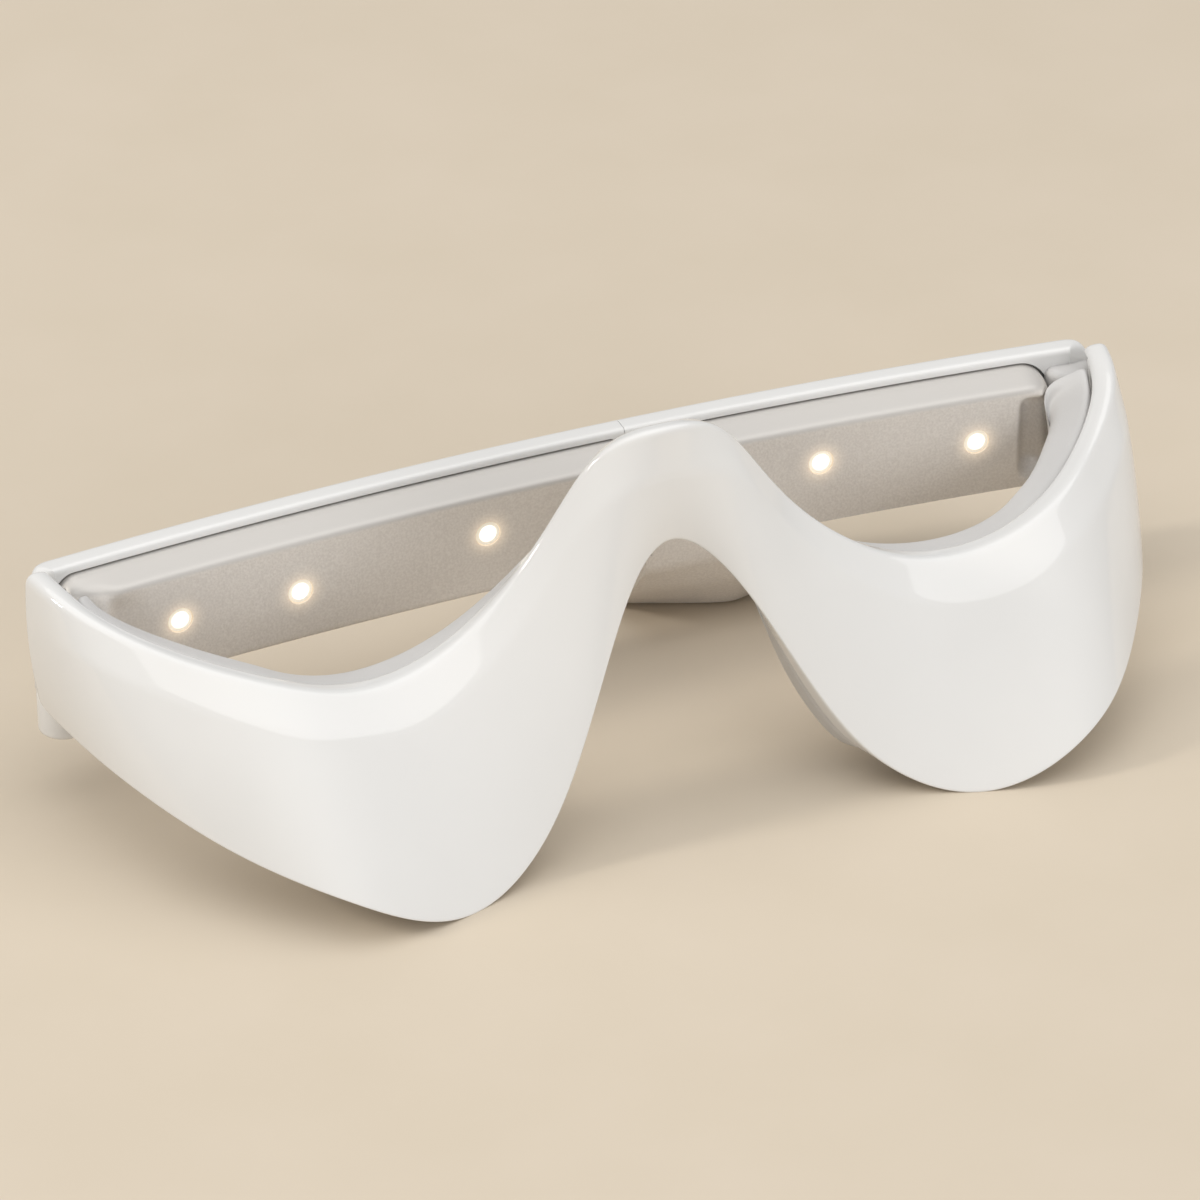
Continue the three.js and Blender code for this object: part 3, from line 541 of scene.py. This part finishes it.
for side, hand in ((-1, "left"), (1, "right")):
    corner_end = side * (corner_start + corner_sweep * barrel_radius)
    shell = make_piece(f"{hand}_arm_shell_skin", *panel(
        arm_skin(side), 0, arm_parameter(side, corner_end), 200, lambda height: (0, height),
        box_section(0, arm_depth, arm_edge, 8), (seam_edge, seam_edge), arm_corners,
        pinch=seam_edge))
    pocket = along_arm(side, "pocket", arm_seam + side * (pad_start - touch_gap),
                       side * (pad_end + touch_gap), lambda height: (arm_rim, height - arm_wall),
                       box_section(arm_wall, arm_depth + 1, pocket_edge, 3),
                       pocket_start_corners, pocket_corners)
    shell = combine(shell, [pocket, magnet_room(side), barrel(
        side, clear, tongue_bottom - barrel_gap, tongue_top + barrel_gap, 0)], "DIFFERENCE")
    knuckle = barrel(side, barrel_radius, knuckle_foot, tongue_bottom - barrel_gap, knuckle_edge)
    shell = combine(shell, [knuckle], "UNION")
    rooms = [pin_room(side), barrel(side, pin_head_room, 0, pin_head_top, 0)]
    cap_rooms = [pin_room(side)]
    if side < 0:
        # The left pad's puffy end reaches round the corner, so the shell and the cap leave it room.
        for tools in (rooms, cap_rooms):
            tools.append(along_arm(side, "corner_room", side * corner_room_start,
                                   side * (puffy_end + touch_gap),
                                   lambda height: (arm_rim, arm_top - corner_floor),
                                   box_section(arm_wall, corner_room_depth, pocket_edge, 3),
                                   corner_room_start_corners, corner_room_corners))
    shell = combine(shell, rooms, "DIFFERENCE")
    coat(shell, abs_white)
    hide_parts(f"{hand}_arm_shell")
    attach(shell, f"{hand}_arm")

    # Hinge cap: soft silicone, moulded in the liner's grey. It is pressed on the upper knuckle and
    # closes it on its inner side.
    cap = barrel(side, barrel_radius - cap_gap, tongue_top + barrel_gap, knuckle_top, cap_edge,
                 f"{hand}_hinge_cap")
    cap = combine(cap, cap_rooms, "DIFFERENCE")
    coat(cap, silicone)
    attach(cap, f"{hand}_arm")

    # Tongue sleeve: a thin skin of the liner's grey silicone over the inner side of the front's
    # hinge tongue. Its grey is painted shade, standing in for the shadow that falls there under the
    # front's end.
    sleeve = barrel(side, barrel_radius + sleeve_thickness, tongue_bottom + sleeve_gap,
                    tongue_top - sleeve_gap, sleeve_edge, f"{hand}_tongue_sleeve")
    rear = block(*sorted((side * 60, side * 90)), hinge_y + sleeve_lap, 70, 0, 40)
    core = barrel(side, barrel_radius - sleeve_root, 0, 60, 0)
    sleeve = combine(sleeve, [rear, core], "DIFFERENCE")
    coat(sleeve, silicone)
    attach(sleeve, "front")

# Arm pads. Soft foam under a satin silver-grey skin, pressed to shape in one piece: a flat lip
# along the top, a hole for each light, and a channel or a soft fold near the hinge.
pad_near, pad_far, pad_top, pad_foot = 2.3, 9.0, 1.4, 18.2
lip_drop, lip_depth, lip_height, lip_edge, full_edge = 0.9, 4.4, 31.2, 0.9, 1.6
lip_growth, foot_round, pad_edge = (69, 75), 0.8, 0.3
right_tuck, left_tuck, left_tuck_start = 2.4, 2.2, 70
channel_depth, channel_wall, channel_return, channel_far = 2.9, (67.6, 69.8), 1.5, (70.4, 73.0)
channel_top, channel_foot = (pad_top + 2.0, pad_top + 4.4), (14.6, 17.4)
fold_depth, fold_wall, end_swell, fold_far = 0.8, (65.5, 70.5), 2.0, (70.8, 73.2)
fold_top = (pad_top + 1.0, pad_top + 5.0)
board_start, board_end, board_thickness = 3.7, 67.8, 0.8
board_span, board_near, board_far = (4.7, 15.3), 1.3, 3.4
led_hole, led_hole_depth = 1.9, 9
leds = {"left": [(-14, 25.2), (-43, 23.4), (-61.5, 24)],
        "right": [(17, 25.2), (37.5, 25.4), (61.5, 24.2)]}


def arm_place(side, u):
    return side * float(arm_skin(side).upper(np.array(u))[0])


def pad_section(side, end):
    """The pad's section, with a fuller lip toward its end, and a tight foot edge over the pod."""
    def at(top, bottom, tuck, u):
        x = arm_place(side, u)
        if side > 0:
            tucked, foot_edge = smooth_step(x, end - 3, end + 0.5) * right_tuck, 0
        else:
            tucked, foot_edge = smooth_step(x, left_tuck_start, end) * left_tuck, foot_round
        far = pad_far - tuck - tucked
        full = lip_edge + full_edge * float(smooth_step(x, *lip_growth))
        return [(top, pad_near, pad_edge, 1), (bottom, pad_near, pad_edge, 4),
                (bottom, far, foot_edge, 44), (top + lip_drop, far, full, 8),
                (top, lip_depth, 0.6, 3)]
    return at


def pad_channel(side):
    """Presses the right pad's channel, with a steep wall toward the lights, or the left's fold."""
    def reshape(ring, u):
        x = arm_place(side, u)
        along = ring[:, 0]
        if side > 0:
            dip = channel_depth * float(smooth_step(x, *channel_wall))
            dip -= channel_return * float(smooth_step(x, *channel_far))
            share = smooth_step(along, *channel_top)
            share = share * (1 - smooth_step(along, *channel_foot))
        else:
            dip = fold_depth * float(smooth_step(x, *fold_wall))
            dip -= end_swell * float(smooth_step(x, *fold_far))
            share = smooth_step(along, *fold_top)
        ring[:, 1] = pad_near + (ring[:, 1] - pad_near) * (1 - dip * share / (pad_far - pad_near))
        return ring
    return reshape


def led_seat(side, x, z):
    """Where a light guide stands on its board, and the direction in which it points."""
    skin = arm_skin(side)
    u = np.array([arm_parameter(side, x)])
    depth = np.array([pad_near + board_thickness + 0.1])
    return skin.place(u, np.array([arm_top - z]), depth)[0], -skin.normal(u, np.array([0.5]))[0]


window_length = pad_far - pad_near - board_thickness
window_faces = []
for side, hand in ((-1, "left"), (1, "right")):
    for x, z in leds[hand]:
        seat, inwards = led_seat(side, x, z)
        window_faces.append(tuple(to_metres(seat + inwards * window_length)))


def nearest_window(material, place):
    """The distance in metres from a point of the surface to the nearest light window's face."""
    nearest = None
    for spot in window_faces:
        reach = add_node(material, "ShaderNodeVectorMath", {"operation": "DISTANCE", 1: spot},
                         {0: place})
        if nearest is None:
            nearest = reach.outputs["Value"]
        else:
            nearest = add_node(material, "ShaderNodeMath", {"operation": "MINIMUM"},
                               {0: nearest, 1: reach.outputs["Value"]}).outputs[0]
    return nearest


# Foam with a pressed silver-grey skin: a fine pebbled grain that glints a little. The real grain
# is about 0.15 mm; it is drawn at 0.35 mm so that it shows. The lip was ironed smooth and reads
# cooler. A warm halo of light is painted on the skin round each light, as emission in its shader.
pad_skin, place = start_material("pressed_pad_skin_silver")
pebble = add_node(pad_skin, "ShaderNodeTexVoronoi", {"Scale": 2600.0}, {"Vector": place})
speck = add_node(pad_skin, "ShaderNodeTexNoise", {"Scale": 2800.0, "Detail": 2.0},
                 {"Vector": place})
cloud = add_node(pad_skin, "ShaderNodeTexNoise", {"Scale": 60.0, "Detail": 4.0}, {"Vector": place})
height = add_node(pad_skin, "ShaderNodeSeparateXYZ", links={0: place})
ironed = add_node(pad_skin, "ShaderNodeMapRange", {
    "interpolation_type": "SMOOTHSTEP", "From Min": (lip_height - 0.7) / 1000,
    "From Max": lip_height / 1000}, {"Value": height.outputs[2]})
blotch = add_node(pad_skin, "ShaderNodeMix", {
    "data_type": "RGBA", 6: linear("#e0dad3"), 7: linear("#e9e4de")},
    {"Factor": cloud.outputs["Fac"]})
fleck = add_node(pad_skin, "ShaderNodeMapRange", {
    "From Min": 0.35, "From Max": 0.65, "To Max": 0.45}, {"Value": speck.outputs["Fac"]})
pitted = add_node(pad_skin, "ShaderNodeMix", {"data_type": "RGBA", 7: linear("#cdc6bf")},
                  {"Factor": fleck.outputs[0], 6: blotch.outputs[2]})
silver = add_node(pad_skin, "ShaderNodeMix", {"data_type": "RGBA", 7: linear("#c6c2bd")},
                  {"Factor": ironed.outputs[0], 6: pitted.outputs[2]})
grain_depth = add_node(pad_skin, "ShaderNodeMapRange", {"To Min": 0.15, "To Max": 0.03},
                       {"Value": ironed.outputs[0]})
pressed = add_node(pad_skin, "ShaderNodeBump", {"Distance": 0.0002},
                   {"Height": pebble.outputs["Distance"], "Strength": grain_depth.outputs[0]})
sheen_spread = add_node(pad_skin, "ShaderNodeMapRange", {"To Min": 0.44, "To Max": 0.34},
                        {"Value": speck.outputs["Fac"]})
# Painted halo: the skin itself emits warm light, strongest next to each light window and gone by
# 4.8 mm.
painted_halo = add_node(pad_skin, "ShaderNodeMapRange", {
    "From Min": 0.0017, "From Max": 0.0048, "To Min": 1.0, "To Max": 0.0},
    {"Value": nearest_window(pad_skin, place)})
fade = add_node(pad_skin, "ShaderNodeMath", {"operation": "POWER", 1: 2.6}, {0: painted_halo.outputs[0]})
painted_halo_strength = add_node(pad_skin, "ShaderNodeMath", {"operation": "MULTIPLY", 1: 0.3},
                 {0: fade.outputs[0]})
skin_shader = add_node(pad_skin, "ShaderNodeBsdfPrincipled",
                       {"Metallic": 0.12, "IOR": 1.48, "Emission Color": linear("#ffe2ba")},
                       {"Base Color": silver.outputs[2], "Roughness": sheen_spread.outputs[0],
                        "Normal": pressed.outputs[0], "Emission Strength": painted_halo_strength.outputs[0]})
add_node(pad_skin, "ShaderNodeOutputMaterial", links={"Surface": skin_shader.outputs[0]})

for side, hand in ((-1, "left"), (1, "right")):
    end = pad_end if side > 0 else puffy_end
    end_radii = (4.6, 2.6) if side > 0 else (3.0, 2.6)
    pad = along_arm(side, f"{hand}_arm_pad_skin", arm_seam + side * pad_start, side * end,
                    lambda height: (pad_top, pad_foot), pad_section(side, end), (0.4, 0.4),
                    end_radii, pinch=0.3 if side > 0 else 1.6, steps=240, reshape=pad_channel(side))
    hinge_room = barrel(side, clear, 0, 60 if side > 0 else corner_floor + touch_gap, 0)
    board_room = along_arm(side, "board_room", arm_seam + side * (pad_start + board_start),
                           side * (board_end + touch_gap), lambda height: board_span,
                           box_section(board_near, board_far, 0.1, 2), (0.5, 0.5), (0.5, 0.5))
    tools = [hinge_room, board_room, magnet_room(side), pin_room(side)]
    for x, z in leds[hand]:
        seat, inwards = led_seat(side, x, z)
        tools.append(make_piece("hole", *turned(
            [(0, 0), (led_hole, 0), (led_hole, led_hole_depth), (0, led_hole_depth)], 48, seat,
            inwards)))
    pad = combine(pad, tools, "DIFFERENCE")
    coat(pad, pad_skin)
    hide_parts(f"{hand}_arm_pad")
    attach(pad, f"{hand}_arm")

# Light windows. Moulded clear acrylic light guides, each with a flat flange and a domed face,
# pushed into the pad from behind and lit warm white by the board.
window_radius, dome_radius, flange_drop = 1.85, 1.25, 0.3


def set_out(name, spots, directions, part, material, size=1.0):
    """Sets copies of a small part on points, turned to their directions, as one plain mesh."""
    cloud = bpy.data.meshes.new(name)
    cloud.from_pydata([tuple(to_metres(spot)) for spot in spots], [], [])
    facing = cloud.attributes.new("facing", "FLOAT_VECTOR", "POINT")
    facing.data.foreach_set("vector", np.array(directions, float).ravel())
    holder = bpy.data.objects.new(name, cloud)
    bpy.context.scene.collection.objects.link(holder)
    tree = bpy.data.node_groups.new(name + "_layout", "GeometryNodeTree")
    tree.interface.new_socket("Geometry", in_out="INPUT", socket_type="NodeSocketGeometry")
    part_input = tree.interface.new_socket("Part", in_out="INPUT", socket_type="NodeSocketObject")
    size_input = tree.interface.new_socket("Size", in_out="INPUT", socket_type="NodeSocketFloat")
    tree.interface.new_socket("Geometry", in_out="OUTPUT", socket_type="NodeSocketGeometry")
    given = add_node(tree, "NodeGroupInput")
    small = add_node(tree, "GeometryNodeObjectInfo", links={"Object": given.outputs["Part"]})
    aim = add_node(tree, "GeometryNodeInputNamedAttribute",
                   {"data_type": "FLOAT_VECTOR", "Name": "facing"})
    turn = add_node(tree, "FunctionNodeAlignRotationToVector", {"axis": "Z"},
                    {"Vector": aim.outputs["Attribute"]})
    copies = add_node(tree, "GeometryNodeInstanceOnPoints", links={
        "Points": given.outputs["Geometry"], "Instance": small.outputs["Geometry"],
        "Rotation": turn.outputs["Rotation"], "Scale": given.outputs["Size"]})
    real = add_node(tree, "GeometryNodeRealizeInstances", links={"Geometry": copies.outputs[0]})
    coated = add_node(tree, "GeometryNodeSetMaterial", {"Material": material},
                      {"Geometry": real.outputs[0]})
    add_node(tree, "NodeGroupOutput", links={"Geometry": coated.outputs[0]})
    layout = holder.modifiers.new("layout", "NODES")
    layout.node_group = tree
    layout[part_input.identifier] = part
    layout[size_input.identifier] = size
    bpy.context.view_layer.update()
    ready = holder.evaluated_get(bpy.context.evaluated_depsgraph_get())
    mesh = bpy.data.meshes.new_from_object(ready)
    holder.modifiers.clear()
    holder.data = mesh
    bpy.data.objects.remove(part)
    return holder


def small_part(name, profile, sides):
    """A small turned part that stands on the world's origin, for set_out to copy."""
    vertices, faces = turned(profile, sides, (0, middle_depth, 0), (0, 0, 1))
    return make_piece(name, vertices, faces)


# Clear moulded acrylic, lit from behind: the dome reads warm white, and the flange round it stays
# dimmer, as only its edge catches light.
lit_acrylic, place = start_material("lit_acrylic_warm_white")
haze = add_node(lit_acrylic, "ShaderNodeTexNoise", {"Scale": 900.0}, {"Vector": place})
warm = add_node(lit_acrylic, "ShaderNodeMix", {
    "data_type": "RGBA", 6: linear("#fffbf2"), 7: linear("#fff4de")},
    {"Factor": haze.outputs["Fac"]})
lit = add_node(lit_acrylic, "ShaderNodeMapRange", {
    "From Min": dome_radius / 1000, "From Max": (dome_radius + 0.15) / 1000,
    "To Min": 1.15, "To Max": 0.2}, {"Value": nearest_window(lit_acrylic, place)})
guide = add_node(lit_acrylic, "ShaderNodeBsdfPrincipled", {"Roughness": 0.15, "IOR": 1.49}, {
    "Base Color": warm.outputs[2], "Emission Color": warm.outputs[2],
    "Emission Strength": lit.outputs[0]})
add_node(lit_acrylic, "ShaderNodeOutputMaterial", links={"Surface": guide.outputs[0]})

flange = window_length - flange_drop
window_profile = [(0, 0.1), (window_radius, 0.1), (window_radius, flange - 0.1),
                  (window_radius - 0.1, flange)]
window_profile += [(dome_radius * math.cos(a), flange + (flange_drop + 0.1) * math.sin(a))
                   for a in np.linspace(0, math.pi / 2, 9)[:-1]]
window_profile.append((0, window_length + 0.1))
for side, hand in ((-1, "left"), (1, "right")):
    window = small_part("window", window_profile, 48)
    seats = [led_seat(side, x, z) for x, z in leds[hand]]
    windows = set_out(f"{hand}_led_windows", [seat for seat, inwards in seats],
                      [inwards for seat, inwards in seats], window, lit_acrylic)
    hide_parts(*[f"{hand}_led_window_{i}" for i in (1, 2, 3)])
    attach(windows, f"{hand}_arm")

# Light boards and the pod's board: glass fibre under a white solder mask, hidden behind the pads
# and in the pod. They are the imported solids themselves, like the pins, the magnets, the switch
# and the port, which are plated steel.
board_mask, place = start_material("solder_mask_white")
weave = add_node(board_mask, "ShaderNodeTexWave", {"Scale": 400.0}, {"Vector": place})
mask = add_node(board_mask, "ShaderNodeMix", {
    "data_type": "RGBA", 6: linear("#f2f1ec"), 7: linear("#e6e6df")},
    {"Factor": weave.outputs["Fac"]})
board_face = add_node(board_mask, "ShaderNodeBsdfPrincipled", {"Roughness": 0.45},
                      {"Base Color": mask.outputs[2]})
add_node(board_mask, "ShaderNodeOutputMaterial", links={"Surface": board_face.outputs[0]})
dress(board_mask, "left_led_board", "right_led_board", "control_board")
dress(steel, "left_hinge_pin", "right_hinge_pin", "left_tip_magnet", "right_tip_magnet",
      "button_switch", "charging_port")

# Control pod: a satin silver-grey case under and behind the right arm's tip, moulded in two
# halves, with a gloss white cover, a power button and a status light at the back.
pod_left, pod_right, pod_front, pod_back, pod_split, pod_top = 10.0, 37.0, 54.6, 75.7, 72.2, 27.4
pod_corner, pod_rings = 3, 88
pod_hollow, port_opening = (14.8, 33, 67.4, 80, 2.2, 25.4), (29.8, 45, 68.8, 80, 14.7, 24.3)
lip_z, belly_y, belly_z, foot_y = 15.6, 57.4, 7.6, 63.2
belly_spread, foot_spread, belly_x = 0.2, 0.46, 27.0
button_x, button_z, button_radius, light_x = 20.0, 18.6, 4.0, 27.6
pod_screws, screw_z, screw_seat, screw_grip = (12.9, 34.9), 8.0, 74.0, 2.8
small_bore, screw_head_room = 1.1, 2.1


def pod_bulge(x, spread):
    """How far back the pod's front curves away from its fullest place."""
    return spread * (math.hypot(x - belly_x, 2) - 2)


def pod_profile(x):
    inner = arm_back - 0.5
    lip_y = arm_back - pad_far - arm_bow * (x / hinge_x) ** 2
    return round_section([
        (lip_y, lip_z, 0, 4), (lip_y + 0.1, 12.8, 3, 12),
        (belly_y + pod_bulge(x, belly_spread), belly_z, 4, 8),
        (foot_y + pod_bulge(x, foot_spread), 0.02, 1.2, 8), (pod_back - 0.3, 0.02, 2.4, 8),
        (pod_back - 0.1, arm_bottom, 1, 8), (pod_back - 0.3, pod_top, 5, 6),
        (inner, pod_top, 0, 6), (inner, lip_z, 0, 6)])


def pod_form(name):
    """The pod's whole form: a profile that swells along the arm, in a rounded plan outline."""
    rings = [[(x, y, z) for y, z in pod_profile(x)]
             for x in np.linspace(pod_left - 1, pod_right + 1, pod_rings)]
    form = make_piece(name, [p for ring in rings for p in ring],
                      ring_faces(pod_rings, len(rings[0])))
    plan = round_section([(x, y, pod_corner, 4) for x, y in (
        (pod_left, pod_front), (pod_right, pod_front), (pod_right, pod_back),
        (pod_left, pod_back))], 14)
    outline = make_piece("outline", [(x, y, z) for z in (-1, pod_top + 1) for x, y in plan],
                         ring_faces(2, len(plan)))
    form = combine(form, [outline], "INTERSECT")
    arm_room = make_piece("arm_room", *panel(
        arm_skin(1), -0.2, 0.95, 60, lambda height: (-touch_gap, height + touch_gap),
        box_section(-touch_gap, arm_depth + touch_gap, 0.1, 4), (0.2, 0.2), (0.2, 0.2)))
    return combine(form, [arm_room], "DIFFERENCE")


def rod(radius, start, length, x, z, sides=48):
    """A round block that points backwards."""
    return make_piece("rod", *turned([(0, 0), (radius, 0), (radius, length), (0, length)], sides,
                                     (x, start, z), (0, 1, 0)))


pod_case = combine(pod_form("pod_case_skin"), [
    block(0, 50, pod_split, 90, -5, 40), block(*pod_hollow), block(*port_opening)]
    + [rod(small_bore, pod_split - 3.2, 10, x, screw_z) for x in pod_screws], "DIFFERENCE")
coat(pod_case, pad_skin)
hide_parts("pod_case")
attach(pod_case, "right_arm")

pod_cover = combine(pod_form("pod_cover_skin"), [
    block(0, 50, 40, pod_split + touch_gap, -5, 40),
    rod(button_radius + touch_gap, 60, 30, button_x, button_z, 96),
    rod(small_bore, 60, 30, light_x, button_z)]
    + [rod(small_bore, 60, 20, x, screw_z) for x in pod_screws]
    + [rod(screw_head_room, screw_seat - 0.3, 5, x, screw_z) for x in pod_screws], "DIFFERENCE")
coat(pod_cover, abs_white)
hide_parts("pod_cover")
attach(pod_cover, "right_arm")

# Power button: a cap moulded in the same gloss ABS, with a dished face. A flange at its foot
# keeps it behind the cover, and the switch behind it springs it back.
flange_reach, flange_height = 0.8, 0.6
button_height, button_edge, button_dish, button_start = 4.7, 0.7, 0.4, 71.6
button_profile = [(0, 0), (button_radius + flange_reach, 0),
                  (button_radius + flange_reach, flange_height), (button_radius, flange_height)]
button_profile += [(button_radius - button_edge * (1 - math.cos(a)),
                    button_height - button_edge * (1 - math.sin(a)))
                   for a in np.linspace(0, math.pi / 2, 8)]
button_profile += [(r, button_height - button_dish * (1 - (r / (button_radius - button_edge)) ** 2))
                   for r in np.linspace(3, 0.4, 7)]
button_profile.append((0, button_height - button_dish))
power_button = make_piece("power_button_skin", *turned(
    button_profile, 96, (button_x, button_start, button_z), (0, 1, 0)))
coat(power_button, abs_white)
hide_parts("power_button")
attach(power_button, "power_button")

# Pod screws: two cross-head screws of plated steel, cold-headed, with their heads sunk into the
# cover, which they hold on the case.
shank = screw_seat - pod_split + screw_grip
head = [(1.7, 0), (1.75, 0.3), (1.65, 0.7), (1.35, 0.92), (0.7, 1.0), (0, 1.02)]
screw = small_part("screw", [(0, 0), (0.5, 0.1), (0.8, 0.5), (0.8, shank)]
                   + [(radius, shank + rise) for radius, rise in head], 40)
cross = [block(-long, long, middle_depth - wide, middle_depth + wide, shank + 0.5, shank + 3)
         for long, wide in ((1.1, 0.2), (0.2, 1.1))]
screw = combine(screw, cross, "DIFFERENCE")
screws = set_out("pod_screws", [(x, pod_split - screw_grip, screw_z) for x in pod_screws],
                 [(0, 1, 0)] * 2, screw, steel)
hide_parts("pod_screw_1", "pod_screw_2")
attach(screws, "right_arm")

# Battery and status light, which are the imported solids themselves: a crinkled foil pouch inside
# the pod, and a clear light guide through its cover.
pouch, place = start_material("battery_pouch_foil")
crease = add_node(pouch, "ShaderNodeTexNoise", {"Scale": 300.0, "Detail": 3.0}, {"Vector": place})
foil_bump = add_node(pouch, "ShaderNodeBump", {"Strength": 0.2, "Distance": 0.0003},
                     {"Height": crease.outputs["Fac"]})
foil = add_node(pouch, "ShaderNodeBsdfPrincipled",
                {"Metallic": 0.8, "Roughness": 0.35, "Base Color": linear("#aab0b6")},
                {"Normal": foil_bump.outputs[0]})
add_node(pouch, "ShaderNodeOutputMaterial", links={"Surface": foil.outputs[0]})
dress(pouch, "battery")
dress(lit_acrylic, "status_light")

# Studio: a plain pale floor, an oval ceiling softbox whose edge mirrors along the creases, a small
# key from the left for the floor's shadow, two low front fills and an even world.
floor_mesh = bpy.data.meshes.new("floor")
floor_mesh.from_pydata([(-6, -6, 0), (6, -6, 0), (6, 6, 0), (-6, 6, 0)], [], [(0, 1, 2, 3)])
floor = bpy.data.objects.new("floor", floor_mesh)
bpy.context.scene.collection.objects.link(floor)
stone, place = start_material("pale_floor_paint")
dust = add_node(stone, "ShaderNodeTexNoise", {"Scale": 40.0, "Detail": 5.0}, {"Vector": place})
sand = add_node(stone, "ShaderNodeMix", {
    "data_type": "RGBA", 6: linear("#d0c3b1"), 7: linear("#cabda9")},
    {"Factor": dust.outputs["Fac"]})
paint = add_node(stone, "ShaderNodeBsdfPrincipled", {"Roughness": 0.9},
                 {"Base Color": sand.outputs[2]})
add_node(stone, "ShaderNodeOutputMaterial", links={"Surface": paint.outputs[0]})
floor_mesh.materials.append(stone)


def softbox(name, shape, spot, aim, width, height, power, colour="#ffffff", mirrored=True):
    """An area light in metres and watts. The fills aren't mirrored by glossy surfaces."""
    lamp = bpy.data.lights.new(name, "AREA")
    lamp.shape = shape
    lamp.size, lamp.size_y, lamp.energy = width, height, power
    lamp.color = linear(colour)[:3]
    holder = bpy.data.objects.new(name, lamp)
    bpy.context.scene.collection.objects.link(holder)
    holder.location = spot
    holder.rotation_euler = (Vector(aim) - Vector(spot)).to_track_quat("-Z", "Y").to_euler()
    holder.visible_glossy = mirrored


target = (0, 0, 0.02)
softbox("ceiling", "ELLIPSE", (-0.02, 0, 1.2), (-0.02, 0, 0), 2.7, 1.74, 15.8)
softbox("key", "RECTANGLE", (-1.25, 0.3, 0.8), target, 0.24, 0.24, 7, "#fffaf2")
softbox("right_fill", "RECTANGLE", (0.73, -1.43, 0.6), target, 1.2, 0.8, 9.8, mirrored=False)
softbox("left_fill", "RECTANGLE", (-0.62, -1.42, 0.32), target, 1.0, 0.5, 4, mirrored=False)
world = bpy.data.worlds.new("studio")
bpy.context.scene.world = world
world.use_nodes = True
background = world.node_tree.nodes["Background"]
background.inputs["Color"].default_value = (0.98, 0.99, 1.0, 1.0)
background.inputs["Strength"].default_value = 0.3

# Camera at the photograph's angle, with a long lens. The shifts are in the photograph's pixels.
view_yaw, view_rise, view_distance = math.radians(-23.6), math.radians(31.3), 1.010
photo_size, shift_across, shift_up = 1200, -53, 3
camera_data = bpy.data.cameras.new("camera")
camera_data.lens, camera_data.sensor_width = 220, 36
camera_data.shift_x, camera_data.shift_y = shift_across / photo_size, shift_up / photo_size
camera = bpy.data.objects.new("camera", camera_data)
bpy.context.scene.collection.objects.link(camera)
aim = Vector(to_metres((0, 30, 25)))
back = Vector((math.sin(view_yaw) * math.cos(view_rise), -math.cos(view_yaw) * math.cos(view_rise),
               math.sin(view_rise)))
camera.location = aim + back * view_distance
camera.rotation_euler = (-back).to_track_quat("-Z", "Y").to_euler()
bpy.context.scene.camera = camera
bpy.context.scene.view_settings.view_transform = "Standard"
